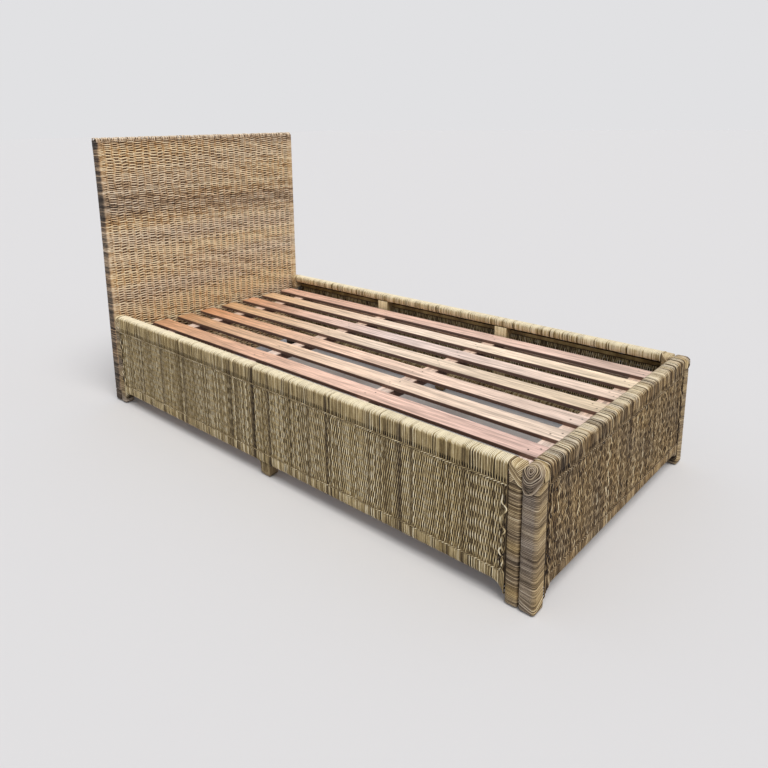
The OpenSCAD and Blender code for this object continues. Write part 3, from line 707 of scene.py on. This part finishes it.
def crossed(post, seed, pitch=3.6 * MM, rings=30):
    """Two bundles that cross on a crown: each is a set of sections of the post by parallel planes
    that lean by 47 degrees, one set each way, and the second lies 1 mm further out. Under them
    strands are laid over the crown from face to face."""
    rng = np.random.default_rng(seed)
    w, t, h = post["size"]
    centre = np.array([w * 0.55, t / 2, h - 24 * MM])
    fan = np.radians(np.linspace(-34, 108, 15))
    theta = np.radians(np.linspace(-76, 76, 17))
    cap_tone = rng.normal(0.92, 0.15, len(fan))[:, None]
    bundles = [laid_over(post, centre, fan, theta, turn_thick + 0.9 * MM, 2.3 * MM, cap_tone, 0.8)]
    for lean_by, lifted_by in ((math.radians(47), 0.0), (math.radians(-47), 1.0 * MM)):
        offset = np.arange(-10 * MM, 8 * MM, pitch)
        normal = np.array([math.sin(lean_by), 0, math.cos(lean_by)])
        slope = np.array([math.cos(lean_by), 0, -math.sin(lean_by)])
        theta = np.arange(rings) * 2 * np.pi / rings
        direction = np.cos(theta)[:, None] * slope + np.sin(theta)[:, None] * np.array([0, 1.0, 0])
        base = np.array([w / 2, t / 2, h - 24 * MM]) + offset[:, None, None] * normal
        at, out = onto_post(post, base, direction, turn_thick - lifted_by)
        tone = rng.normal(0.80, 0.16, len(offset))[:, None]
        bundles.append(on_skin(post, at, out, pitch * 0.53, tone, 0.7))
    return bundles


def post_at(node, u, v, corner, crown, tone, warm):
    """A post's axes, sizes and roundings, from the box of the CAD node that it stands for. The origin
    is its corner on the floor, where u and v start."""
    low, high = corners(node)
    u, v = np.array(u, float), np.array(v, float)
    at = np.where((u + v) > 0, low, high)
    size = (abs(u) @ (high - low), abs(v) @ (high - low), high[2])
    return {"at": (at[0], at[1], 0.0), "u": u, "v": v, "size": size, "corner": corner, "crown": crown,
            "tone": tone, "warm": warm}


def foot_post_tone(at, level, seed):
    """Grey-brown turns in darker and lighter groups, darkest and most mixed under the foot's bows."""
    bows = hump(level, 30 * MM, 26 * MM)
    each = np.random.default_rng(seed).normal(0, 1, len(level))[:, None]
    group = 0.09 * line_drift(seed, level, 0.035)
    front = rise(at[..., 1], 10 * MM, -10 * MM)
    return 0.58 + group + (0.11 + 0.18 * bows) * each - 0.12 * bows - 0.02 * front


def foot_post_warm(at, level, seed):
    """Grey on the outer side, and tan round on the front."""
    group = 0.12 * line_drift(seed + 1, level, 0.05)
    return np.clip(0.14 + 0.62 * rise(at[..., 1], 14 * MM, -14 * MM) + group, 0, 1)


def side_post_tone(at, level, seed):
    """Olive and tan turns in darker and lighter groups, with painted shade where they press against the
    next post.
    """
    each = np.random.default_rng(seed).normal(0, 0.13, len(level))[:, None]
    # Painted shade in the joint against the next post
    pressed_shade = rise(at[..., 0], 5 * MM, -5 * MM)
    return 0.52 + 0.10 * line_drift(seed, level, 0.04) + each - 0.45 * pressed_shade


def side_post_warm(at, level, seed):
    """Olive and tan by turns of some centimetres."""
    return np.clip(0.50 + 0.3 * line_drift(seed + 1, level, 0.08) + 0 * at[..., 0], 0, 1)


for name, u, seed in (("footboard_left_wrap", (1, 0, 0), 41), ("footboard_right_wrap", (-1, 0, 0), 42)):
    post = post_at(name, u, (0, 1, 0), 26 * MM, 20 * MM, foot_post_tone, foot_post_warm)
    turns_top = post["size"][2] - 21 * MM
    turns = wound(post, 0.3 * MM, turns_top, 3.6 * MM, 0.2, seed, sink=2.2 * MM, sling=0.36)
    piece = strand_piece(name + "_turns", [turns, whorl(post, seed), neck(post, seed)], post_cane)
    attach(piece, "root")
    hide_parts(name)

seed = 43
for side, v in (("left", (1, 0, 0)), ("right", (-1, 0, 0))):
    for end, u in (("foot", (0, 1, 0)), ("head", (0, -1, 0))):
        name = f"{side}_{end}_post_wrap"
        post = post_at(name, u, v, 14 * MM, 11 * MM, side_post_tone, side_post_warm)
        turns_top = post["size"][2] - 22 * MM
        turns = wound(post, 0.3 * MM, turns_top, 3.5 * MM, 0.03, seed, sink=2.0 * MM)
        piece = strand_piece(name + "_turns", [turns] + crossed(post, seed), post_cane)
        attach(piece, "root")
        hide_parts(name)
        seed += 1

for side, u in (("left", (1, 0, 0)), ("right", (-1, 0, 0))):
    name = f"headboard_{side}_foot_wrap"
    post = post_at(name, u, (0, 1, 0), 0.0, 0.0, foot_post_tone, lambda at, level, seed: 0.1)
    turns = wound(post, 0.3 * MM, post["size"][2] + 1 * MM, 4.0 * MM, 0.0, 47)
    piece = strand_piece(name + "_turns", [turns], post_cane)
    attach(piece, "root")
    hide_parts(name)

# Woven panels: on the footboard and both sides the strands run up and down. Each starts under the
# top rail, goes up inside it and over it, weaves down over level stakes between two twined lines,
# and goes round the bottom rail. Beside the posts the strands reach down a fillet to the foot.
strand_pitch = 3.77 * MM
stake_half = (9.2 * MM, 1.0 * MM)
twine_turn = 20 * MM
column_in = 8 * MM
column_turn = 66 * MM
rail_r = 11 * MM
fillet_r = 40 * MM
ground_gap = head_low[2]
panel_top = corners("footboard_left_wrap")[1][2]
wrap_t = panel_top - corners("footboard_top_rail")[1][2]
top_band_low = corners("footboard_top_rail")[0][2] - wrap_t
bottom_band_high = corners("footboard_bottom_rail")[1][2] + wrap_t
foot_in_y = corners("footboard_left_wrap")[1][1]
head_in_y = head_low[1]
side_thick = corners("left_weave")[1][0] - corners("left_weave")[0][0]
side_post = corners("left_foot_post_wrap")[1][1] - corners("left_foot_post_wrap")[0][1]


def arc(centre_v, centre_z, radius, start, end, count=3):
    """Points of an arc in a panel's cross-section, from start to end degrees."""
    angle = np.radians(np.linspace(start, end, count))
    return np.stack([centre_v + radius * np.cos(angle), centre_z + radius * np.sin(angle)], 1)


def in_panel(panel, u, v, z):
    """Takes u along a panel, v inwards from its outer face and the height z to the bed's axes."""
    u, v, z = (value[..., None] for value in np.broadcast_arrays(u, v, z))
    return (np.array(panel["at"]) + u * np.array(panel["u"]) + v * np.array(panel["v"])
            + z * np.array([0, 0, 1.0]))


def fillet_drop(distance):
    """How far below the rails' underside a strand reaches, from its distance to the post: the hollow
    quarter circle of the fillet, r - sqrt(r^2 - (r - distance)^2)."""
    left = np.clip(fillet_r - distance, 0, fillet_r - 1e-6)
    return fillet_r - np.sqrt(fillet_r ** 2 - left ** 2)


def woven_strands(panel, first, last, seed):
    """The upright strands of a panel between u = first and last, as one bundle. A strand's depth
    swings about the middle of the weave by the cosine of its height in stakes, against the next
    strand's. Where they leave the rail's band the strands are pinched, and every second one is drawn
    in and darkened by painted shade. Beside the posts the field gets painted shade, and over the rail
    and the hem the strands are by turns lighter and darker, painted light and shade."""
    length, post_w, thick = panel["length"], panel["post"], panel["thick"]
    twine_high, twine_low = panel["twine_high"], panel["twine_low"]
    total = int((length - 2 * post_w) / strand_pitch)
    every = np.arange(total)
    u = post_w + (every + 0.5) * (length - 2 * post_w) / total
    chosen = (u >= first) & (u < last)
    u = u[chosen][:, None]
    from_post = np.minimum(u - post_w, length - post_w - u)
    over = np.where(every[chosen] % 2 == 0, 1.0, -1.0)[:, None]
    t = strand_thick
    r = rail_r - t
    top = np.concatenate([[(weave_t + t, top_band_low + t)],
                          arc(thick - rail_r, top_band_low + rail_r, r, -90, 0),
                          arc(thick - rail_r, panel_top - rail_r, r, 0, 90),
                          arc(rail_r, panel_top - rail_r, r, 90, 180),
                          [(t, twine_high + above * MM) for above in (19, 13, 6)]])
    bottom = np.concatenate([[(t, twine_low - 5 * MM)], arc(rail_r, ground_gap + rail_r, r, 180, 270),
                             arc(thick - rail_r, ground_gap + rail_r, r, 270, 360),
                             arc(thick - rail_r, bottom_band_high - rail_r, r, 0, 90),
                             [(weave_t + t, bottom_band_high - t)]])
    row_h = (twine_high - twine_low) / panel["rows"]
    weave_z = np.linspace(twine_high, twine_low, panel["rows"] * rings_per_wave // 2 + 1)
    ease = np.clip(np.minimum(twine_high - weave_z, weave_z - twine_low) / (7 * MM), 0.35, 1)
    liveliness = 1 + 0.25 * drift(seed, u, weave_z, 0.05, 0.05)
    swing_at = np.pi * (weave_z - twine_low) / row_h
    swing_at = swing_at + panel["jumble"] * drift(seed + 4, u, weave_z, 0.03, 0.09)
    weave_v = weave_t / 2 + panel["swing"] * over * np.cos(swing_at) * ease * liveliness
    top_v, top_z = (np.repeat(top[None, :, i], len(u), 0) for i in (0, 1))
    drawn_in = np.clip((over < 0) * (1 + 0.5 * line_drift(seed + 5, u, 0.02)), 0, 1)
    pinch = slice(len(top) - 2, len(top))
    top_v[:, pinch] += 1.8 * MM * drawn_in
    bottom_v = np.broadcast_to(bottom[:, 0], (len(u), len(bottom)))
    bottom_z = bottom[:, 1] - fillet_drop(from_post) * (bottom[:, 1] < ground_gap + rail_r + 1 * MM)
    v = np.concatenate([top_v, weave_v, bottom_v], 1)
    z = np.concatenate([top_z, np.broadcast_to(weave_z, weave_v.shape), bottom_z], 1)
    z = z + 1.6 * MM * rise(v, 0, thick) * (z > panel_top - 12 * MM)
    sway = panel["sway"][0] * drift(seed + 1, u, z, *panel["sway"][1:])
    skew = panel["skew"] * line_drift(seed + 6, u, 0.10) * (v / thick - 0.5)
    paths = in_panel(panel, u + (sway + skew) * rise(from_post, 0, 12 * MM), v, z)
    rng = np.random.default_rng(seed + 2)
    width = strand_pitch * 0.5 * rng.uniform(1.02, 1.22, total)[chosen][:, None] * np.ones(z.shape)
    width[:, pinch] *= 0.82
    tone, warm = panel["shade"](u, v, z, rng.normal(0, 1, total)[chosen][:, None])
    # Painted shade on the drawn-in strands at the pinch
    tone[:, pinch] -= 0.48 * drawn_in
    # Painted shade beside the posts in the field, and painted light and shade on alternate strands over
    # the rail and the hem
    in_field = (z < twine_high + 4 * MM) & (z > twine_low - 4 * MM)
    beside_post = rise(from_post, 18 * MM, -4 * MM)
    tone = tone - panel["joint_shade"] * beside_post * in_field + panel["pair_shading"] * over * ~in_field
    weave_depth = np.clip((weave_v - weave_t / 2) / panel["swing"], -1, 1)
    depth = np.concatenate([-np.ones(top_v.shape), weave_depth, -np.ones(bottom_v.shape)], 1)
    return strands(paths, width, t, tone, warm, across=panel["across"], depth=depth,
                   hollow=panel["hollow"])


def stakes_and_twine(panel, seed):
    """The level stakes, one of them behind the rail's band, and the two twined lines: a pair of
    strands that turn about each other, each a helix of twine_turn length along the panel. The other
    stakes' near-black tone is painted shade inside the weave. The twine has a painted highlight in
    patches where it lies outermost, and painted shade where it turns in."""
    length, post_w = panel["length"], panel["post"]
    half_w, half_t = stake_half
    stake_z = np.linspace(panel["twine_low"], panel["twine_high"], panel["rows"] + 1)[:, None]
    stake_u = np.array([post_w - 2 * MM, length - post_w + 2 * MM])
    stakes = in_panel(panel, stake_u, weave_t / 2, stake_z)
    band_stake = in_panel(panel, stake_u, weave_t - half_t, stake_z[-1:] + 11 * MM)
    # The stakes' near-black tone is painted shade inside the weave
    bundles = [strands(stakes, half_w, half_t, 0.15, 0.7, across=(0, 0, 1)),
               strands(band_stake, 10 * MM, half_t, 0.42, 1.0, across=(0, 0, 1))]
    u = np.arange(post_w + 1 * MM, length - post_w, twine_turn / 6)
    for z, base in zip((panel["twine_high"] + 1 * MM, panel["twine_low"] - 1 * MM), panel["twine_tone"]):
        angle = 2 * np.pi * u / twine_turn + np.array([[0], [np.pi]])
        bob = drift(seed, u, z, 0.3, 1) * 1.0 * MM
        v = 1.1 * MM + 1.6 * MM * np.cos(angle)
        path = in_panel(panel, u, v, z + 2.0 * MM * np.sin(angle) + bob)
        # Painted highlight on the outermost parts of the twine, in random patches, and painted shade
        # where it turns in
        lit_patches = np.clip(0.35 + 0.9 * drift(seed + 1, u, z, 0.07, 1), 0, 1)
        tone = base + panel["twine_lit"] * lit_patches * np.clip(-np.cos(angle), 0, 1) - 0.10 * np.cos(angle)
        bundles.append(strands(path, 1.5 * MM, 1.2 * MM, tone, 0.5, across=(0, 0, 1), sides=4))
    return bundles


def looped_column(panel, seed):
    """The plaited column beside each post: two strands that swing against each other across the
    column as the sine of their height, by uneven steps, and pass over each other at each crossing.
    A near-black core in the joint with the post behind them is painted shade."""
    bundles = []
    pair = np.array([[0.0], [1.0]])
    z = np.arange(panel["twine_low"] - 2 * MM, panel["twine_high"] + 2 * MM, 3.5 * MM)
    core_z = np.array([[ground_gap + 12 * MM, panel_top - 14 * MM]])
    for joint, inward in ((panel["post"], 1), (panel["length"] - panel["post"], -1)):
        centre = joint + inward * column_in
        angle = 2 * np.pi * z / column_turn + 0.9 * drift(seed + 3, z, centre, 0.07, 1) + np.pi * pair
        bulge = panel["loop_half"] * (1 + 0.45 * drift(seed + 7, z, 0.2 * pair, 0.05, 0.1))
        u = centre + bulge * np.sin(angle) + 1.4 * MM * drift(seed, z, centre, 0.04, 1)
        v = 0.2 * MM - 1.7 * MM * np.sin(2 * angle + np.pi * pair)
        tone = panel["loop_tone"] - 0.34 * pair + 0.12 * np.sin(angle)
        tone = tone + 0.30 * drift(seed + 1, z, 0.1 * pair, 0.045, 0.05)
        pair_paths = in_panel(panel, u, v, z)
        core = in_panel(panel, joint, weave_t / 2, core_z)
        bundles.append(strands(pair_paths, 2.5 * MM, 1.6 * MM, tone, 0.55, across=panel["across"]))
        # The core's near-black tone is painted shade
        bundles.append(strands(core, 2.6 * MM, 2.4 * MM, 0.12, 0.5, across=panel["across"]))
    return bundles


# Rattan core of mixed bundles, olive and straw among grey-brown, matt and not dyed
side_cane = cane_material("olive_rattan_core", ("#2B221A", "#5E503E", "#948468", "#C6B694", "#ECE0C6"),
                          ("#30261A", "#665436", "#A38D5F", "#D6C192", "#F8EDCE"), 0.55)

# Rattan core of a browner kind, grey-brown to tan, matt and not dyed
foot_cane = cane_material("brown_rattan_core", ("#2A211A", "#574939", "#86765F", "#B8A991", "#E4D9C4"),
                          ("#30241A", "#624C31", "#977C54", "#CBB082", "#F0E0BA"), 0.55)

# Middles and half widths of the bundles of dark, purple-brown strands along a side panel
dark_bundles = np.array([30, 373, 650, 731, 920, 1002, 1123, 1263, 1410, 1560, 1709]) * MM
dark_half = np.array([4, 6, 5, 7, 6, 7, 9, 5, 7, 8, 7]) * MM


def side_shade(u, v, z, chance):
    """Bundles of a few centimetres, dark ones among them. The band over the rail is darker on its
    face, paler on its top, bleached and with painted light, and warm and mixed inside. The hem is
    darker, and a few strands there and over the rail get painted shade, as if they lay deeper."""
    bundle = 0.6 * line_drift(61, u, 0.045) + 0.5 * line_drift(62, u, 0.16)
    dark = hump(u, dark_bundles, dark_half).sum(1, keepdims=True)
    # The top is paler: bleached, and with painted light from above
    bleach_and_top_light = rise(z, panel_top - 9 * MM, 8 * MM)
    rail = rise(z, panel_top - 64 * MM, 4 * MM)
    hem = rise(z, 86 * MM, -4 * MM)
    # Painted shade on a few strands, as if they lay deeper
    deeper = (chance < -1.2) * 0.12 * (rail + hem)
    inner = rail * (1 - bleach_and_top_light) * rise(v, 0.7 * side_thick, 4 * MM)
    tone = 0.91 + 0.045 * bundle + (0.15 - 0.04 * rail + 0.08 * inner) * chance
    tone = tone - (0.19 - 0.15 * rail) * dark + 0.72 * bleach_and_top_light + 0.26 * inner - 0.27 * rail
    tone = tone - hem * (0.26 - 0.12 * line_drift(67, u, 0.03)) - deeper
    warm = 0.80 + 0.18 * bundle + 0.06 * rail - 0.40 * dark - 0.20 * bleach_and_top_light + 0.20 * inner
    return tone, np.clip(warm, 0, 1)


def foot_shade(u, v, z, chance):
    """Tan and grey-brown areas, with lighter and darker locks of some strands down the face. Over the
    rail the tone goes by groups of a few centimetres, darker on its face and paler on its top,
    bleached and with painted light, and the darkest strands get painted shade, as if they lay deeper."""
    group = line_drift(64, u, 0.045)
    slow = drift(65, u, z, 0.20, 0.30)
    lock = drift(66, u, z, 0.010, 0.065)
    rail = rise(z, panel_top - 50 * MM, 10 * MM)
    # The top is paler: bleached, and with painted light from above
    bleach_and_top_light = rise(z, panel_top - 9 * MM, 8 * MM)
    hem = rise(z, 88 * MM, -8 * MM)
    # Painted shade on the darkest strands, as if they lay deeper
    deeper = (chance < -0.75) * 0.22 * (rail + bleach_and_top_light)
    tone = (0.54 + 0.03 * slow + 0.13 * chance - 0.12 * hem + (1 - 0.6 * bleach_and_top_light) * 0.17 * lock
            + rail * (0.04 * group - 0.15) + 0.54 * bleach_and_top_light - deeper)
    warm = 0.74 + 0.20 * slow - 0.35 * bleach_and_top_light + rail * 0.20 * group
    return tone, np.clip(warm, 0, 1)


# A panel's place, axes and sizes, its twined lines, and how its strands lie: sway is how far they
# drift along it and over what reach, skew how far they slant over the rail, swing how deep they
# weave, and jumble how unevenly. The rest set its tones: hollow and the darkness beside the posts
# are painted shade, the alternate strands' tones painted light and shade, and twine_lit a painted
# highlight.
footboard = {"at": (cad_low[0], cad_low[1], 0), "u": (1.0, 0, 0), "v": (0, 1.0, 0),
             "across": (1.0, 0, 0), "length": cad_high[0] - cad_low[0], "thick": foot_in_y - cad_low[1],
             "post": corners("footboard_left_wrap")[1][0] - cad_low[0], "twine_high": 0.328,
             "twine_low": 0.088, "rows": 12, "sway": (3.0 * MM, 0.050, 0.055), "skew": 3 * MM,
             "swing": 1.4 * MM, "jumble": 0.9, "hollow": 0.14, "pair_shading": 0.10, "shade": foot_shade,
             "twine_tone": (0.36, 0.38), "twine_lit": 0.34, "loop_tone": 0.50, "loop_half": 4.0 * MM,
             "joint_shade": 0.10}
left = {"at": (cad_low[0], foot_in_y, 0), "u": (0, 1.0, 0), "v": (1.0, 0, 0), "across": (0, -1.0, 0),
        "length": head_in_y - foot_in_y, "thick": side_thick, "post": side_post, "twine_high": 0.318,
        "twine_low": 0.088, "rows": 12, "sway": (0.6 * MM, 0.05, 0.07), "skew": 3 * MM,
        "swing": 1.3 * MM, "jumble": 0.35, "hollow": 0.74, "pair_shading": 0.09, "shade": side_shade,
        "twine_tone": (0.52, 0.46), "twine_lit": 0.50, "loop_tone": 0.72, "loop_half": 5.5 * MM,
        "joint_shade": 0.30}
right = dict(left, at=(cad_high[0], foot_in_y, 0), v=(-1.0, 0, 0), across=(0, 1.0, 0))

weaves = (("footboard", footboard, foot_cane, "footboard_cane", 1, 80),
          ("left", left, side_cane, "side_cane", 2, 75),
          ("right", right, side_cane, "side_cane", 2, 76))
for name, panel, material, slot, parts, seed in weaves:
    bounds_u = np.linspace(0, panel["length"], parts + 1)
    for i in range(parts):
        bundles = [woven_strands(panel, bounds_u[i], bounds_u[i + 1], seed)]
        if i == 0:
            bundles = bundles + stakes_and_twine(panel, seed) + looped_column(panel, seed)
        piece = strand_piece(f"{name}_weave_strands_{i + 1}", bundles, material)
        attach(piece, "root")
        if i == 0:
            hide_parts(name + "_weave")

# Uprights inside the panels: a pole runs from rail to rail behind the weave, and pale split cane is
# laid up and down on its three free faces, strand beside strand, and tacked at its ends.
upright_pitch = 4.3 * MM

# Straw-coloured cane, paler than the weave because the sun never reached it
upright_cane = cane_material("straw_rattan_core",
                             ("#4A3D2C", "#7E6C4E", "#B09B74", "#D0BD94", "#EBDDBA"),
                             ("#52402A", "#8E744A", "#C0A473", "#DEC594", "#F4E2BC"), 0.5)

# Split cane under the strands of the uprights and the middle feet: fine brown lines, up and down
sheath_material, tree = new_material("split_cane_sheath")
grain = noise(tree, object_place(tree, (420, 420, 14)), 2.0)
surface(tree, {"Base Color": ramp(tree, grain, ("#4E3F2B", "#A48D66")), "Roughness": 0.6})


def laid_upright(name, panel, seed):
    """Strands up and down on the three free faces of an upright, half sunk in its skin. The strands on
    its two sides are darker, with painted shade.
    """
    low, high = corners(name)
    u_axis = np.abs(np.array(panel["u"]))
    middle = np.abs((low + high) / 2 - np.array(panel["at"])) @ u_axis
    half = (high - low) @ u_axis / 2
    thick = panel["thick"]
    count = int(2 * half / upright_pitch)
    inner_u = middle + (np.arange(count) + 0.5 - count / 2) * 2 * half / count
    side_count = int((thick - weave_t) / upright_pitch)
    side_v = weave_t + (np.arange(side_count) + 0.5) * (thick - weave_t) / side_count
    side_u = np.full(side_count, half)
    u = np.concatenate([inner_u, middle - side_u, middle + side_u])[:, None]
    v = np.concatenate([np.full(count, thick), side_v, side_v])[:, None]
    z = np.linspace(bottom_band_high - 1 * MM, top_band_low + 1 * MM, 7)
    rng = np.random.default_rng(seed)
    # Painted shade on the strands of the two sides
    tone = rng.normal(0.86, 0.13, (len(u), 1)) - 0.35 * (np.arange(len(u)) >= count)[:, None]
    bend = 0.4 * MM * drift(seed, u + v, z, 0.01, 0.15)
    facing = np.concatenate([np.tile(panel["v"], (count, 1)),
                             np.tile(-np.array(panel["u"]), (side_count, 1)),
                             np.tile(panel["u"], (side_count, 1))])[:, None]
    paths = in_panel(panel, u + bend, v, z)
    return strands(paths, upright_pitch * 0.5, 1.3 * MM, tone, 0.6, facing=facing)


for name, panel in (("footboard_upright", footboard),
                    ("left_foot_upright", left), ("left_head_upright", left),
                    ("right_foot_upright", right), ("right_head_upright", right)):
    piece = strand_piece(name + "_cane", [laid_upright(name, panel, 81)], upright_cane)
    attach(piece, "root")
    give(name, sheath_material)

# Middle feet: a short foot under the middle of each side carries the long rail. The side's own cane
# runs down its outer face, under it and up its inner face, and fills a fillet on both its sides.
mid_foot_w = 46 * MM
mid_foot_r = 16 * MM
mid_fillet_r = 16 * MM

# A strand's way round a foot: how far down it hangs at each point, and how far inwards it has come
hang = np.array([0, 0.45, 0.7, 0.87, 0.97, 1, 1, 0.97, 0.87, 0.7, 0.45, 0])
inwards = np.array([0, 0, 0.02, 0.06, 0.14, 0.28, 0.72, 0.86, 0.94, 0.98, 1, 1])

half = mid_foot_w / 2 + mid_fillet_r
count = int(2 * half / strand_pitch)
out = (np.arange(count) + 0.5 - count / 2) * 2 * half / count
off = np.abs(out)
inside = np.clip(off - (mid_foot_w / 2 - mid_foot_r), 0, mid_foot_r - 1e-6)
beyond = np.clip(mid_fillet_r - (off - mid_foot_w / 2), 0, mid_fillet_r - 1e-6)
reach_z = np.where(off < mid_foot_w / 2, mid_foot_r - np.sqrt(mid_foot_r ** 2 - inside ** 2),
                   ground_gap - mid_fillet_r + np.sqrt(mid_fillet_r ** 2 - beyond ** 2))[:, None]
foot_top_z = ground_gap + 2 * MM
foot_z = foot_top_z + (np.minimum(reach_z + strand_thick, foot_top_z - 1 * MM) - foot_top_z) * hang
foot_v = weave_t + inwards * (side_thick - weave_t - strand_thick)
foot_tone = np.random.default_rng(85).normal(0.52, 0.10, (count, 1))

for name, panel in (("left_middle_foot", left), ("right_middle_foot", right)):
    paths = in_panel(panel, panel["length"] / 2 + out[:, None], foot_v, foot_z)
    bundle = strands(paths, strand_pitch * 0.52, strand_thick, foot_tone, 0.6, across=panel["across"])
    piece = strand_piece(name + "_cane", [bundle], side_cane)
    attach(piece, "root")
    give(name, sheath_material)

# Slat deck: eight planed hardwood slats lie lengthwise on four cross bearers, which stand on ledgers
# screwed along the sides. The timber is bare, pink to orange, and its sawn edges are dark: rough
# and dirty, and with painted shade.
bevel = 1.3 * MM
board_rings = 40
bearer_count = 4

# Each slat's timber colours at its foot end, its middle and its head end
slat_shades = {
    "slat_1": ("#E2B8A8", "#E2B49E", "#CFA07C"),
    "slat_2": ("#E6C4B8", "#F4CCB6", "#DAA880"),
    "slat_3": ("#F4DECA", "#FADCC2", "#C89A70"),
    "slat_4": ("#F0D8C8", "#F6D4BC", "#D89E72"),
    "slat_5": ("#E8D2B4", "#F2DCC6", "#DAAE80"),
    "slat_6": ("#F4DAC4", "#ECD6CE", "#E0A880"),
    "slat_7": ("#F8E2C4", "#FCE6D2", "#EAC296"),
    "slat_8": ("#EED2C4", "#F4D0C0", "#EABCA2"),
}
bearer_shade = ("#F4E2D8", "#ECD0BC", "#ECCEB8")


def board(name, node, lengthwise, shades, material, seed):
    """A planed board in a CAD node's box: a rectangle with four bevelled corners carried along its
    length in rings, drawn in a little at both ends. A point's timber colour runs through the three
    shades from end to end, and its edge value is 1 on the two narrow sides."""
    low, high = corners(node)
    along = 1 if lengthwise else 0
    across = 1 - along
    size = high - low
    b, w, h = bevel, size[across], size[2]
    profile = np.array([(b, 0), (w - b, 0), (w, b), (w, h - b), (w - b, h), (b, h), (0, h - b), (0, b)])
    edge = np.array([0, 0, 1, 1, 0, 0, 1, 1.0])
    sides = len(profile)
    inset = b / size[along]
    place = np.concatenate([[0, inset], np.linspace(0, 1, board_rings)[1:-1], [1 - inset, 1]])
    shrink = np.ones((len(place), 2))
    shrink[[0, -1]] = 1 - 2 * b / w, 1 - 1.2 * b / h
    wander = 0.35 * MM * line_drift(seed, place * size[along], 0.25)
    points = np.zeros((len(place), sides, 3))
    points[..., along] = low[along] + place[:, None] * size[along]
    points[..., across] = low[across] + w / 2 + (profile[:, 0] - w / 2) * shrink[:, :1] + wander[:, None]
    points[..., 2] = low[2] + h / 2 + (profile[:, 1] - h / 2) * shrink[:, 1:]
    index = np.arange(len(place) * sides).reshape(-1, sides)
    quads = np.stack([index[:-1], np.roll(index[:-1], -1, 1), np.roll(index[1:], -1, 1), index[1:]], -1)
    faces = quads.reshape(-1, 4).tolist() + [index[0, ::-1].tolist(), index[-1].tolist()]
    if lengthwise:
        faces = [face[::-1] for face in faces]
    mesh = bpy.data.meshes.new(name)
    mesh.from_pydata(points.reshape(-1, 3).tolist(), [], faces)
    timber = np.array([linear(shade) for shade in shades])
    colour = np.stack([np.interp(place, [0, 0.5, 1], timber[:, i]) for i in range(4)], -1)
    set_points(mesh, "timber", "FLOAT_COLOR", "color", np.repeat(colour, sides, 0))
    set_points(mesh, "edge", "FLOAT", "value", np.tile(edge, len(place)))
    mesh.materials.append(material)
    return put(name, mesh)


def board_material(name, grain_scale):
    """Planed hardwood: growth bands some millimetres wide and finer pores run along the board and
    darken its timber colour, and the sawn edges are brown and rough, and darker with painted shade."""
    material, tree = new_material(name)
    bands = noise(tree, object_place(tree, grain_scale), 5.0, distortion=0.6)
    pores = noise(tree, object_place(tree, tuple(4 * s for s in grain_scale)), 3.0)
    both = calc(tree, "MULTIPLY", remap(tree, bands, (0.35, 0.68), (1.22, 0.64)),
                remap(tree, pores, (0.35, 0.7), (1.18, 0.72)))
    planed = add(tree, "ShaderNodeVectorMath", {0: attribute(tree, "timber", "Color"), "Scale": both},
                 operation="SCALE")
    # The narrow sides are dark brown: sawn and dirty, and painted shade
    feeds = {0: attribute(tree, "edge", "Fac"), 6: planed, 7: linear("#6C5145")}
    colour = add(tree, "ShaderNodeMix", feeds, data_type="RGBA").outputs[2]
    bump = add(tree, "ShaderNodeBump", {"Height": pores, "Strength": 0.25, "Distance": 0.3 * MM})
    rough = remap(tree, bands, (0.3, 0.7), (0.42, 0.62))
    surface(tree, {"Base Color": colour, "Roughness": rough, "Normal": bump})
    return material


# Planed hardwood, its grain along the slats and the ledgers, or along the bearers across the bed
slat_wood = board_material("planed_hardwood_slat", (70, 3.5, 70))
bearer_wood = board_material("planed_hardwood_bearer", (3.5, 70, 70))

for i, (name, shades) in enumerate(slat_shades.items()):
    piece = board(name + "_board", name, True, shades, slat_wood, 91 + i)
    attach(piece, "root")
    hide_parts(name)

for i in range(bearer_count):
    name = f"bearer_{i + 1}"
    piece = board(name + "_board", name, False, bearer_shade, bearer_wood, 101 + i)
    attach(piece, "root")
    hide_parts(name)

for name in ("left_ledger", "right_ledger"):
    piece = board(name + "_board", name, True, bearer_shade, slat_wood, 105)
    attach(piece, "root")
    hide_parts(name)

# Fasteners: nails hold the slats, screws the bearers and ledgers, and bed bolts with washers and
# threaded inserts the corners. All are of steel, driven or turned in from above or from inside.

# Zinc-plated steel, dulled and a little scratched
steel_material, tree = new_material("zinc_plated_steel")
scratch = noise(tree, object_place(tree), 3.0, 400.0)
rough = remap(tree, scratch, (0.0, 1.0), (0.35, 0.6))
surface(tree, {"Base Color": linear("#8E9092"), "Metallic": 1.0, "Roughness": rough})
for name in ("slat_nails", "deck_screws", "bed_bolts", "bolt_washers", "threaded_inserts"):
    give(name, steel_material)
